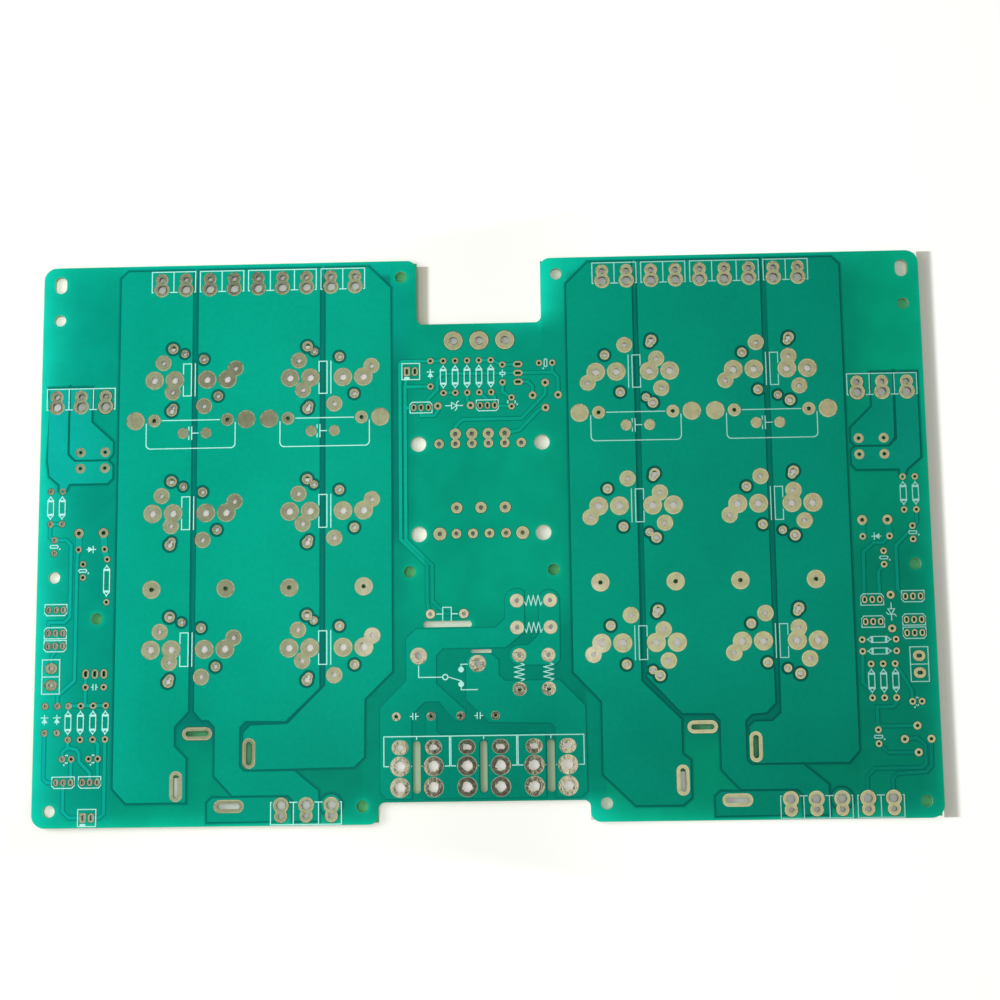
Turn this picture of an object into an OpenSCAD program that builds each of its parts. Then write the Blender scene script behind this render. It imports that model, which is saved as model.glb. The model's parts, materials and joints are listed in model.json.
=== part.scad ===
// Bare power supply board: laminate, copper pours, tracks, plated lands and printed legend.
// X runs along the long side, Y along the short side, Z up. The underside lies on Z = 0.
// Positions are measured from the middle of the four corner holes and moved to the
// middle of the board at the end.

/* [Board] */
// Width of the board along X
board_w = 274; // [266:0.5:300]
// Depth of the board along Y
board_d = 174; // [168:0.5:190]
// Thickness of the laminate
board_t = 1.6; // [1:0.1:3.2]
// Radius of the outer corners
corner_r = 4; // [1:0.5:5]

/* [Notches] */
// Width of the notch in the top edge
top_notch_w = 38.8; // [20:0.2:44]
// Depth of the notch in the top edge
top_notch_d = 20.6; // [10:0.2:22]
// Width of the notch in the bottom edge
bottom_notch_w = 63.7; // [40:0.1:66]
// Depth of the notch in the bottom edge
bottom_notch_d = 6.5; // [3:0.1:7]
// Radius of the inner corners of the notches
notch_fillet_r = 2; // [0.5:0.1:2.5]
// Radius where a notch meets the edge
notch_mouth_r = 3; // [0.5:0.1:3.2]

/* [Fixing holes] */
// Diameter of the fixing holes
fixing_hole_d = 3.6; // [2.5:0.1:4.2]
// Distance from the side edges to the fixing holes
fixing_side_inset = 5.3; // [4:0.1:6]
// Distance from the top edge to the upper corner holes
fixing_top_inset = 17; // [16:0.5:20]
// Distance from the bottom edge to the lower corner holes
fixing_bottom_inset = 5; // [4:0.1:6]
// Distance from the top notch to the holes beside it
top_inner_gap = 4.9; // [4:0.1:6]
// Distance from the top edge to the holes beside the top notch
top_inner_inset = 5.2; // [4:0.1:6]
// Distance between the two holes below the transformer
centre_span = 44; // [43:0.1:45]
// Distance from the bottom notch to the holes beside it
bottom_inner_gap = 4.85; // [4:0.05:6]
// Distance from the bottom edge to the holes beside the bottom notch
bottom_inner_inset = 5.4; // [4:0.1:6]
// Width of the long holes in the upper corners
corner_slot_w = 3.8; // [3:0.1:4.4]
// Length of the long holes in the upper corners
corner_slot_l = 5.4; // [4.6:0.1:6]
// Distance from the top edge to the long holes
corner_slot_inset = 5.6; // [5:0.1:6]
// Diameter of the holes for the transformer frame
frame_hole_d = 4.8; // [3:0.1:5]
// Distance across the transformer frame along X
frame_span_x = 38.2; // [37:0.1:39]
// Distance across the transformer frame along Y
frame_span_y = 28.1; // [27:0.1:29]

/* [Copper] */
// Height of the coated copper above the laminate
copper_h = 0.1; // [0.05:0.01:0.2]
// Width of the control tracks
track_w = 0.9; // [0.4:0.05:1.1]
// Width of the wide tracks under the rectifiers
wide_track_w = 1.9; // [1:0.1:2.2]
// Width of the bare gap between two power pours
pour_gap = 1.9; // [1.2:0.1:2.2]
// Distance from the side edges to the outer pours
strip_w = 24.7; // [24:0.1:26]
// Distance from the side edges to the middle of the control strips
strip_middle = 12.5; // [12:0.1:13]
// Distance from the top edge to the pours
pour_top_inset = 1.8; // [1:0.1:2.4]
// Height of a land above the laminate
land_h = 0.12; // [0.05:0.01:0.2]
// Wall of the plating in a hole
plating = 0.1; // [0.05:0.01:0.14]
// Clearance between plating, laminate and copper
fit = 0.02; // [0.01:0.005:0.05]

/* [Spacing] */
// Pitch of the wire terminals
terminal_pitch = 7.62; // [7.5:0.02:7.7]
// Distance from a terminal's wire land to its locating land
terminal_stagger = 3.2; // [2.9:0.05:3.5]
// Pitch of the input terminal's columns
input_pitch = 10.12; // [10:0.02:10.2]
// Pitch of the capacitor rows along Y
bus_row_pitch = 42; // [41.5:0.1:42.4]
// Distance between the leads of a bus capacitor
bus_lead_pitch = 10.16; // [9.8:0.02:10.4]
// Distance between the leads of a resistor
resistor_span = 10.16; // [10:0.02:10.3]
// Distance between the leads of a diode
diode_span = 8.1; // [8:0.05:8.2]
// Pitch of the transistor leads
transistor_pitch = 2.28; // [2.2:0.02:2.4]
// Pitch of the transformer's leads
transformer_pitch = 5.08; // [5:0.02:5.2]
// Distance between the contacts of a film capacitor
film_contact_span = 34.6; // [34:0.1:35]
// Distance between the leads of a film capacitor
film_lead_span = 22.9; // [22.5:0.1:23.5]
// Pitch of the three central terminals
centre_pitch = 8.05; // [7.6:0.05:8.4]

/* [Lands and holes] */
// Wire land of a terminal: land and hole
terminal_wire = [4.8, 2.7]; // [1:0.1:5.4]
// Locating land of a terminal: land and hole
terminal_locator = [4, 1.7]; // [1:0.1:5]
// Land of the three central terminals: land and hole
centre_terminal = [6, 2.5]; // [1:0.1:7]
// Round land of the input terminal: land and hole
input_round = [6, 2.9]; // [1:0.1:6.2]
// Long land of the input terminal: width of land and hole
input_long = [4.4, 1.5]; // [1:0.1:5]
// Large land of a bus capacitor: land and hole
bus_large = [5.8, 2.2]; // [1:0.1:6.2]
// Medium land of a bus capacitor: land and hole
bus_medium = [5, 1.5]; // [1:0.1:5.2]
// Isolated large land of a bus capacitor: land and hole
bus_ring_large = [3.3, 1.7]; // [0.8:0.1:3.6]
// Isolated medium land of a bus capacitor: land and hole
bus_ring_medium = [3, 1.4]; // [0.8:0.1:3.4]
// Isolated small land of a bus capacitor: land and hole
bus_ring_small = [2.5, 1.3]; // [0.6:0.1:2.6]
// Larger of two joined lands of a bus capacitor: land and hole
bus_twin_large = [3.3, 1.7]; // [0.6:0.1:3.6]
// Smaller of two joined lands of a bus capacitor: land and hole
bus_twin_small = [2.6, 1.2]; // [0.5:0.1:2.8]
// Bare ring around an isolated land
isolation = 0.8; // [0.4:0.05:1]
// Solid contact of a film capacitor
film_contact_d = 5.7; // [4:0.1:6]
// Solid middle land of a film capacitor
film_middle_d = 3.4; // [2.4:0.1:4]
// Lead land of a film capacitor: land and hole
film_lead = [4, 1.2]; // [1:0.1:4.4]
// Land of a balance resistor: land and hole
balance = [5.6, 1.3]; // [1:0.1:6]
// Land of a busbar slot: width of land and slot
busbar = [3.9, 1.6]; // [1:0.1:4.4]
// Length between the round ends of a busbar slot
busbar_run = 5.3; // [4:0.1:6]
// Land of a relay contact: land and hole
relay_contact = [5.1, 2]; // [1:0.1:5.4]
// Land of a relay coil: land and hole
relay_coil = [2.9, 1.1]; // [0.8:0.1:3.2]
// Land of a power resistor: land and hole
power_resistor = [4.2, 1.3]; // [1:0.1:4.4]
// Land of an input capacitor: land and hole
input_capacitor = [2.6, 1.1]; // [0.8:0.1:3]
// Lead land of the transformer: land and hole
transformer_lead = [3, 1.2]; // [0.8:0.1:3.2]
// Tap land of the transformer: land and hole
transformer_tap = [3.5, 1.3]; // [0.8:0.1:3.6]
// End land of the transformer: land and hole
transformer_end = [4, 1.3]; // [0.8:0.1:4.2]
// Land of a resistor, diode or small capacitor: land and hole
small_lead = [2, 0.9]; // [0.6:0.1:2.2]
// Land of a zener diode or a trimmer: land and hole
zener_lead = [2.4, 1]; // [0.6:0.1:2.6]
// Land of a coupler or a rectifier: land and hole
coupler_lead = [3, 1.2]; // [0.8:0.1:3.4]
// Land of a transistor: width of land and hole
transistor_lead = [1.65, 0.8]; // [0.5:0.05:1.8]
// Land of a plug connector: width of land and hole
plug_lead = [1.9, 0.8]; // [0.5:0.05:2.1]
// Land of a regulator: width of land and hole
regulator_lead = [2, 0.9]; // [0.5:0.05:2.2]
// Land of a jumper header: width of land and hole
header_lead = [3.2, 1.2]; // [0.8:0.1:3.6]

/* [Legend] */
// Width of a printed line
ink_w = 0.28; // [0.2:0.01:0.6]
// Height of the print above the copper
ink_h = 0.03; // [0.02:0.005:0.08]
// Bare margin that the print keeps around a land
ink_clear = 0.35; // [0.1:0.05:0.5]

/* [Hidden] */
$fn = 36;

// Edges of the board, from the middle of the corner holes
fixing_span_y = board_d - fixing_top_inset - fixing_bottom_inset;
top_y = fixing_span_y / 2 + fixing_top_inset;
bottom_y = -fixing_span_y / 2 - fixing_bottom_inset;
mid_y = (top_y + bottom_y) / 2;
side_x = board_w / 2;
fixing_x = side_x - fixing_side_inset;
fixing_middle_y = -5.1;
// Middle of the control strips at the two sides, and the one hole in the left strip
strip_x = side_x - strip_middle;
strip_hole = [6.2 - strip_x, -18];
// Outer edge of the outer pours, middle of the gaps and inner edge of the inner pours
pour_x = side_x - strip_w;
pour_inner_x = 27.6;
// A place between those edges; the columns move with the width of the field
drawn_field = 84.7;
function across(x) = pour_inner_x + (x - pour_inner_x) * (pour_x - pour_inner_x) / drawn_field;
gap_outer_x = across(88.8);
gap_inner_x = across(48.8);
pour_top = top_y - pour_top_inset;
pour_corner = 2.2;
pour_slope = 6.8;
// Columns of bus capacitors, and the rows of parts between them
bus_outer_x = across(90.1);
bus_inner_x = across(47.6);
bus_top_y = 56.2;
bus_rows = 3;
film_y = 43.4;
film_outer_x = across(90);
film_inner_x = across(48.2);
film_middle_drop = 4.1;
film_middle_span = 7.2;
balance_y = -9.3;
balance_span = 22.86;
// Rows of terminals
top_wire_y = top_y - 7.7;
top_terminal_x = across(69.2);
top_blocks = [2, 2, 3, 2];
top_ways = 9;
side_wire_y = 48.3;
side_terminal_x = [-strip_x, strip_x - 0.4];
side_ways = 3;
output_wire_y = bottom_y + 6;
output_x = [-across(53.7), across(99.1)];
output_ways = 3;
auxiliary_x = strip_x - 6.3;
auxiliary_ways = 2;
centre_y = top_y - top_notch_d - 5.4;
centre_ways = 3;
plug_y = bottom_y + 3;
// Input terminal
input_columns = 6;
input_long_y = bottom_y + 22.7;
input_long_run = 0.7;
input_round_y = [bottom_y + 17.1, bottom_y + 10.8];
input_slot_w = 2.25;
input_slot_l = 15.6;
input_slot_y = bottom_y + 16.8;
// Transformer: middle of its frame, rows of leads and rows of taps
transformer_y = 20.45;
transformer_leads = [34.45, 6.4];
transformer_taps = [37.5, 14.4];
tap_pitch = 7.45;
// Relay coil, and the isolating slots beside it: [x, y, run, width]
coil = [-10.7, -18.15];
coil_span = 10.2;
coil_slot = [-10.6, -21.3, 12.7, 2.1];
contact_slot = [-0.4, -29.65, 5.1, 1.2];

// Layout helpers: a position is [x, y], a land is [x, y, style],
// a style is [land, hole, bare ring, run of a slot, direction of the slot, square ends]
function row(x, y, n, pitch) = [for (i = [0:n - 1]) [x + (i - (n - 1) / 2) * pitch, y]];
function column(x, y, n, pitch) = [for (i = [0:n - 1]) [x, y + (i - (n - 1) / 2) * pitch]];
function pair(x, y, span, angle = 0) =
  [for (s = [-1, 1]) [x + s * span / 2 * cos(angle), y + s * span / 2 * sin(angle)]];
function pairs(places, span, angle = 0) = [for (q = places) each pair(q.x, q.y, span, angle)];
function turned(places, x, y, way) = [for (q = places) [x + way * q.x, y + way * q.y]];
function moved(places, x, y = 0) = [for (q = places) [q.x + x, q.y + y]];
function low(places, x = 0) = moved(places, x, bottom_y);
function style(sizes, ring = 0, run = 0, angle = 0, ends = false) =
  [sizes[0], sizes[1], ring, run, angle, ends];
function land_list(s, places) = [for (q = places) [q.x, q.y, s]];

WIRE = style(terminal_wire);
LOCATOR = style(terminal_locator);
CONTACT = style([film_contact_d, 0]);
MIDDLE = style([film_middle_d, 0]);
SMALL = style(small_lead);

// A row of terminals; the locating lands lie above or below the wire lands
function terminals(x, y, n, side) = concat(
  land_list(WIRE, row(x, y, n, terminal_pitch)),
  land_list(LOCATOR, row(x, y + side * terminal_stagger, n, terminal_pitch)));

// Lands around one bus capacitor; the wide form moves three of them outwards
function bus_place(x, y, way, wide) = let (lead = bus_lead_pitch / 2, far = lead + 6.35) concat(
  land_list(style(bus_large), turned([[-far, 0], [-lead, 0], [lead, 0], [far, 0]], x, y, way)),
  land_list(style(bus_medium), turned(
    [[-8.7, 5.5], [wide ? -7.4 : -5.7, -3.9], [14, 3.4], [wide ? 2.4 : 4.2, -8.4]], x, y, way)),
  land_list(style(bus_ring_large, isolation), turned([[wide ? -6 : -5.7, 10]], x, y, way)),
  land_list(style(bus_ring_small, isolation), turned([[wide ? -3.9 : -2, 8.3]], x, y, way)),
  land_list(style(bus_ring_medium, isolation), turned([[4, 6.5], [8.6, -5.3]], x, y, way)),
  land_list(style(bus_twin_large, isolation), turned([[-5.95, -9.85]], x, y, way)),
  land_list(style(bus_twin_small, isolation), turned([[-5.4, -8.75]], x, y, way)));

function bus_column(x, way, wide) =
  [for (i = [0:bus_rows - 1]) each bus_place(x, bus_top_y - i * bus_row_pitch, way, wide)];

function film(x, gap_x) = concat(
  land_list(CONTACT, pair(x, film_y, film_contact_span)),
  land_list(style(film_lead), pair(x, film_y, film_lead_span)),
  land_list(MIDDLE, pair(gap_x, film_y - film_middle_drop, film_middle_span)));

// Power lands
TOP_LEFT = terminals(-top_terminal_x, top_wire_y, top_ways, 1);
TOP_RIGHT = terminals(top_terminal_x, top_wire_y, top_ways, 1);
SIDES = [for (x = side_terminal_x) each terminals(x, side_wire_y, side_ways, 1)];
OUTPUTS = [for (x = output_x) each terminals(x, output_wire_y, output_ways, -1)];
AUXILIARY = terminals(auxiliary_x, output_wire_y, auxiliary_ways, -1);
CENTRE = land_list(style(centre_terminal), row(0, centre_y, centre_ways, centre_pitch));
INPUT = concat(
  land_list(style(input_long, 0, input_long_run), row(0, input_long_y, input_columns, input_pitch)),
  [for (y = input_round_y) each land_list(style(input_round), row(0, y, input_columns, input_pitch))]);
BUS_A = bus_column(-bus_outer_x, 1, false);
BUS_B = bus_column(-bus_inner_x, 1, true);
BUS_C = bus_column(bus_inner_x, -1, true);
BUS_D = bus_column(bus_outer_x, -1, false);
FILM = [for (side = [-1, 1]) each concat(
  film(side * film_outer_x, side * gap_outer_x), film(side * film_inner_x, side * gap_inner_x))];
BALANCE = land_list(style(balance), pairs(
  [for (x = [-bus_outer_x, -bus_inner_x, bus_inner_x, bus_outer_x]) [x, balance_y]], balance_span));
BUSBAR = [for (x = output_x) each concat(
  land_list(style(busbar, 0, busbar_run, 0), low([[-33.2, 27.7], [-23.4, 5.9]], x)),
  land_list(style(busbar, 0, busbar_run, 90), low([[-39.5, 12], [-17.4, 21.6]], x)))];
RELAY = concat(
  land_list(style(relay_contact), [[-19.5, -30.8], [-1.6, -33.3]]),
  land_list(style(relay_coil), pair(coil.x, coil.y, coil_span)));
POWER_RESISTORS = [[15.65, -14.45, 0], [15.65, -22.65, 0], [11.1, -36.1, 90], [19.95, -36.1, 90]];
POWER_RESISTOR = land_list(style(power_resistor),
  [for (q = POWER_RESISTORS) each pair(q.x, q.y, resistor_span, q[2])]);
INPUT_CAPS = [[-21.1, -49], [-1.6, -49]];
input_capacitor_span = 10.5;
INPUT_CAP = land_list(style(input_capacitor), pairs(INPUT_CAPS, input_capacitor_span));
TRANSFORMER = concat(
  land_list(style(transformer_lead), row(0, transformer_leads[0], 6, transformer_pitch)),
  land_list(style(transformer_lead), row(0, transformer_leads[1], 4, transformer_pitch)),
  land_list(style(transformer_end), pair(0, transformer_leads[1], 5 * transformer_pitch)),
  land_list(style(transformer_tap), row(0, transformer_taps[0], 4, transformer_pitch)),
  land_list(style(transformer_tap), row(0, transformer_taps[1], 3, tap_pitch)));

// Control parts: [x, y, direction], the strips' own parts counted from the strip's middle
function on_strip(side, places) = [for (q = places) [side * strip_x + q.x, q.y, q[2]]];
LEFT = -1;
RIGHT = 1;
RESISTORS = concat(
  on_strip(LEFT, [[-8.8, 16.55, 90], [-5.2, 16.55, 90]]),
  on_strip(LEFT, [for (q = row(3.8, -49.5, 4, 3.8)) [q.x, q.y, 90]]),
  on_strip(RIGHT, [[4.6, 16.55, 90], [8.3, 16.55, 90], [-4.75, -27.9, 0], [-4.75, -31.4, 0]]),
  on_strip(RIGHT, [for (q = row(-3.9, -40.3, 3, 3.6)) [q.x, q.y, 90]]),
  [for (q = row(-3.8, 55.55, 5, 3.7)) [q.x, q.y, 90]]);
LONG_RESISTORS = on_strip(LEFT, [[9.1, -6.3, 90]]);
long_resistor_span = 13.2;
DIODES = concat(
  on_strip(LEFT, [[4.2, 3.45, 0], [-9.1, -48.45, 90], [-5.3, -48.45, 90]]),
  on_strip(RIGHT, [[-4.25, 3.45, 180]]),
  [[-15.2, 56.65, 90]]);
LAMPS = [[7.2, 56.3, 90]];
lamp_span = 5.6;
ZENERS = concat([[-7.9, 46.4, 0]], on_strip(RIGHT, [[-0.7, -19.55, -90]]));
RECTIFIERS = concat(on_strip(LEFT, [[4, 8.5, 0]]), on_strip(RIGHT, [[-4.45, 8.5, 0]]));
COUPLERS = concat(on_strip(LEFT, [[4, 31.3]]), on_strip(RIGHT, [[-4.4, 31.3]]));
coupler_span = [7.65, 5];
TRANSISTORS = concat(
  on_strip(LEFT,
    [[-6.4, -15.1, 180], [-6.4, -22.2, 0], [-6.4, -26.15, 180], [-3, -67.4, 180], [5.1, -67.4, 180]]),
  on_strip(RIGHT,
    [[-6.3, -15.8, 0], [-6.3, -22.5, 0], [6, -15, 180], [6, -22.05, 0], [6, -26.05, 180]]),
  [[-18.2, 46, 0], [2.4, 46.3, 180]]);
CAPACITORS = concat(
  on_strip(LEFT, [[-7.4, 4.45, 90], [1.65, -3.15, 90]]),
  on_strip(RIGHT, [[6.9, 4.45, 90], [-2.2, -3.1, 90], [-6.2, -56.95, 90]]),
  [[20.65, 59.4, 0]]);
capacitor_span = 4.1;
TINY_CAPACITORS = concat(
  on_strip(LEFT, [[-2.1, -60.4, 0], [6, -60.4, 0]]),
  on_strip(RIGHT, [[5.8, -46.6, 0]]),
  [[9.9, 47.25, 90]]);
tiny_capacitor_span = 2.8;
STRIP_CAPACITORS = on_strip(LEFT, [[6, -38.8, 0]]);
strip_capacitor_span = 5.6;
TRIMMERS = concat([[20.4, 49.2]], on_strip(RIGHT, [[5.5, -57.75]]));
trimmer_r = 3.95;
PLUGS = concat([[-21.3, 57.45]], on_strip(LEFT, [[4.45, plug_y]]));
plug_pitch = 2.5;
HEADERS = concat(on_strip(LEFT, [[-7.5, -35.5]]), on_strip(RIGHT, [[7, -35.5]]));
header_pitch = 5.1;
regulator_pitch = 2.8;

function two_leads(s, parts, span) = land_list(s, [for (q = parts) each pair(q.x, q.y, span, q[2])]);
RESISTOR = concat(two_leads(SMALL, RESISTORS, resistor_span),
  two_leads(SMALL, LONG_RESISTORS, long_resistor_span));
DIODE = concat(two_leads(SMALL, DIODES, diode_span), two_leads(SMALL, LAMPS, lamp_span));
ZENER = two_leads(style(zener_lead), ZENERS, resistor_span);
RECTIFIER = two_leads(style(coupler_lead), RECTIFIERS, coupler_span[0]);
COUPLER = land_list(style(coupler_lead),
  [for (q = COUPLERS, s = [-1, 1]) each pair(q.x, q.y + s * coupler_span[1] / 2, coupler_span[0])]);
TRANSISTOR = land_list(style(transistor_lead, 0, 0.5, 90),
  [for (q = TRANSISTORS) each row(q.x, q.y, 3, transistor_pitch)]);
CAPACITOR = concat(two_leads(SMALL, CAPACITORS, capacitor_span),
  two_leads(SMALL, TINY_CAPACITORS, tiny_capacitor_span),
  two_leads(SMALL, STRIP_CAPACITORS, strip_capacitor_span));
TRIMMER = land_list(style(zener_lead),
  [for (q = TRIMMERS, a = [0:90:270]) [q.x + trimmer_r * cos(a), q.y + trimmer_r * sin(a)]]);
plug_run = 0.9;
PLUG = [for (q = PLUGS, s = [-1, 1])
  [q.x + s * plug_pitch / 2, q.y, style(plug_lead, 0, plug_run, 90, s < 0)]];
HEADER = land_list(style(header_lead, 0, 0.5, 0),
  [for (q = HEADERS) each column(q.x, q.y, 2, header_pitch)]);
REGULATOR = concat(
  land_list(style(regulator_lead, 0, 0.9, 90), row(6 - strip_x, -34.8, 3, regulator_pitch)),
  land_list(style(regulator_lead, 0, 0.9, 0), column(12, 56.35, 3, regulator_pitch)));

CONTROL = concat(RESISTOR, DIODE, ZENER, RECTIFIER, COUPLER, TRANSISTOR, CAPACITOR, TRIMMER, PLUG,
  HEADER, REGULATOR);
POWER = concat(TOP_LEFT, TOP_RIGHT, SIDES, OUTPUTS, AUXILIARY, CENTRE, INPUT, BUS_A, BUS_B, BUS_C, BUS_D,
  FILM, BALANCE, BUSBAR, RELAY, POWER_RESISTOR, INPUT_CAP, TRANSFORMER);

// Copper outlines, each with only the corners that the pour has, turning clockwise.
// The corners near the bottom edge are counted from it.
left_gap = [-gap_outer_x - pour_gap / 2, -gap_outer_x + pour_gap / 2];
inner_left_gap = [-gap_inner_x - pour_gap / 2, -gap_inner_x + pour_gap / 2];
ox = output_x[0];
px = output_x[1];
// The tongue that leads a middle pour to its output terminal
TONGUE = [[-18.5, 31.4], [-20.4, 29.4], [-20.4, 17.6], [-18.9, 16.1], [-3.6, 16.1], [3.7, 10.1],
  [3.7, 1.4], [-3.7, 1.4], [-3.7, 7.4], [-5.4, 9.1], [-22.2, 9.1], [-27.7, 15], [-27.7, 29.7],
  [-29.7, 31.8]];
// The edge that ends under the land of an upright busbar slot
SLOT_EDGE = [[-17.4, 16.8], [-17.4, 24], [-19, 25.7]];
LEFT_OUTER = concat(
  [[-pour_x, pour_top - pour_corner], [pour_corner - pour_x, pour_top], [left_gap[0], pour_top]],
  low([[left_gap[0], 34.5], [ox - 40.3, 29.9], [ox - 40.3, 24], [ox - 36.6, 20.2], [ox - 36.6, 7.3],
    [4 - pour_x, 7.3], [-pour_x, 11.7]]));
LEFT_MIDDLE = concat(
  [[left_gap[1], pour_top], [inner_left_gap[0], pour_top]],
  low([[inner_left_gap[0], 41], [ox - 6.3, 31.2]]), low(TONGUE, ox),
  low([[ox - 31.8, 31.8], [left_gap[1], 34.6]]));
LEFT_INNER = concat(
  [[inner_left_gap[1], pour_top], [-pour_inner_x - pour_slope, pour_top],
    [-pour_inner_x, pour_top - pour_slope], [-pour_inner_x, -35.3]],
  low([[-across(36), 37.5], [-across(36.2), 20.1], [-across(39.3), 17.2]]), low(SLOT_EDGE, ox),
  low([[ox - 19, 27.8], [ox - 16.9, 29.9], [ox - 5.6, 30.2], [inner_left_gap[1], 41.7]]));
RIGHT_INNER = concat(
  [[-inner_left_gap[1], pour_top]],
  low([[-inner_left_gap[1], 41.6], [px - 39.6, 30], [px - 39.6, 19.7], [px - 37.2, 17.8],
    [px - 37.2, 6.8], [px - 39.7, 4.8], [across(45.5), 4.8], [across(36), 14], [across(36), 35.7]]),
  [[pour_inner_x, -36.3], [pour_inner_x, pour_top - pour_slope], [pour_inner_x + pour_slope, pour_top]]);
RIGHT_MIDDLE = concat(
  [[-left_gap[1], pour_top]], low([[-left_gap[1], 34.6], [px - 14, 31.8]]), low(TONGUE, px),
  low([[px - 39, 31.9], [-inner_left_gap[0], 43]]), [[-inner_left_gap[0], pour_top]]);
RIGHT_OUTER = concat(
  [[-left_gap[0], pour_top]],
  low([[-left_gap[0], 31.6], [across(87), 29], [px - 17.5, 29], [px - 19.2, 27.4]]),
  low([SLOT_EDGE[2], SLOT_EDGE[1], SLOT_EDGE[0]], px), low([[pour_x - 3, 16.8], [pour_x, 20.2]]),
  [[pour_x, pour_top - pour_corner], [pour_x - pour_corner, pour_top]]);
// The island behind the first way of an output terminal, and the ring around its last way
OUTPUT_ISLAND = [[-29.8, 1.4], [-29.8, 7], [-28.3, 8.4], [-terminal_pitch, 8.4], [-terminal_pitch, 1.4]];
output_ring_w = 0.7;
sense_top = side_wire_y + 5.9;
LEFT_SENSE = [
  [[-3.2, sense_top], [3.3, sense_top], [3.3, 43.3], [10.2, 36.9], [10.2, 33.2], [8.8, 31.6],
    [-1.4, 31.6], [-3.2, 33.6]],
  [[-4, sense_top], [-4, 33], [-1.8, 30.9], [8.8, 30.9], [10.2, 29.5], [10.2, 25.6], [8.7, 24.1],
    [-3.2, 24.1], [-4.1, 22.2], [-6.1, 22.2], [-6.1, 23.8], [-9.3, 26.6], [-10, 31.4], [-10, sense_top]]];
RIGHT_SENSE = [
  [[-3.6, sense_top], [-3.6, 43.6], [-10.4, 36.9], [-10.4, 32.9], [-9.2, 31.7], [0.7, 31.7], [2.6, 34],
    [2.9, sense_top]],
  [[3.8, sense_top], [3.6, 33.4], [1.2, 31], [-9.4, 31], [-10.5, 30], [-10.5, 25.8], [-9.2, 24.3],
    [4, 24.2], [4, 22.2], [5.2, 22.2], [6.1, 24.2], [10.3, 27.7], [10.3, sense_top]]];
resistor_end_y = -14.45;
link_end = [11.1, -31.02, 2.95];
input_low = bottom_y + 7.5;
input_top = input_long_y + 3.7;
INPUT_LEFT = [[-31.2, input_low + 2], [-31.2, -46.4], [-23.2, -38.3], [-23.2, -25.7], [-20, -22.6],
  [4.1, -22.6], [7, -19.9], [7, resistor_end_y], [12.8, resistor_end_y], [12.8, -24], [7.1, -28.5],
  [-12.1, -28.6], [-14.2, -30.7], [-14.2, -39.3], [-5.4, -47.4], [-6.4, -50.4], [-8.6, -50.4],
  [-13.3, -44.6], [-17.7, -44.6], [-21.8, -48.6], [-21.8, input_low], [-29.2, input_low]];
INPUT_MIDDLE = [[-17.3, input_low], [-17.3, -48.2], [-14.2, -48.2], [-14.2, input_top + 1.1],
  [-13, input_top], [18.6, input_top], [18.6, input_low]];
INPUT_RIGHT = [[-5, -44.2], [-5, -32.2], [-3.4, -30.6], [2.8, -30.6], [4.8, -32.3], [4.8, -36.9],
  [6.7, -38.7], [23.2, -38.7], [30.8, -46.4], [31, input_low + 1.7], [29.1, input_low],
  [21.8, input_low], [21.8, input_top + 1.9], [20.4, input_top + 3.2], [1.8, input_top + 3.6]];
INPUT_LINK = [[17.3, resistor_end_y], [23.5, resistor_end_y], [23.4, -32.6], [22.1, -33.9],
  [link_end.x, -33.9], [link_end.x, -28.1], [14.1, -28], [17.3, -24.8]];
// Round ends of the input copper: [x, y, radius]
ROUND_ENDS = [[10.57, resistor_end_y, 3.62], [20.4, resistor_end_y, 3.15], link_end];

// Control tracks as runs of corner points
LEFT_TRACKS = [
  [[-5.2, 11.5], [-8.8, 11.5], [-8.8, 7.4], [-7.4, 6.5]],
  [[-7.4, 6.5], [-3.7, 6.5], [-2.1, 4.9], [-2.1, -17.2], [-3.7, -18.9], [-8.5, -18.9], [-8.7, -22.2]],
  [[0.2, 3.45], [-0.2, 1], [-0.2, -36.8], [-5.3, -41.3], [-5.3, -44.4]],
  [[3.2, -34.8], [3.2, -44.4]],
  [[-1.9, -44.4], [9.5, -44.4]],
  [[-1.9, -54.6], [-1.9, -57], [-3.5, -58.4], [-3.5, -60.4]],
  [[-1.9, -57], [0.9, -57.6], [1.7, -59], [1.7, -61.2], [5.1, -64.6], [5.1, -67.4]],
  [[-0.7, -60.4], [-0.7, -67.4]],
  [[5.7, -54.6], [7.4, -56.2], [7.4, -67.4]],
  [[9.5, -54.6], [9.5, plug_y + 1.2], [8.3, plug_y], [5.7, plug_y]],
  [[-3, -67.4], [-3, plug_y + 2], [-1, plug_y], [3.2, plug_y]],
  [[-9.1, -52.5], [-9.1, -66.2], [-7.9, -67.4], [-5.3, -67.4]],
  [[-6.4, -26.2], [-6.4, -27.8], [-7.5, -29.6], [-7.5, -33]],
  [[-6.4, -22.2], [-4.1, -26.2]]];
LEFT_WIDE_TRACKS = [[[0.2, 8.5], [0.2, 3.45]], [[7.8, 8.5], [8.2, 3.45], [9.1, 0.3]]];
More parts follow.
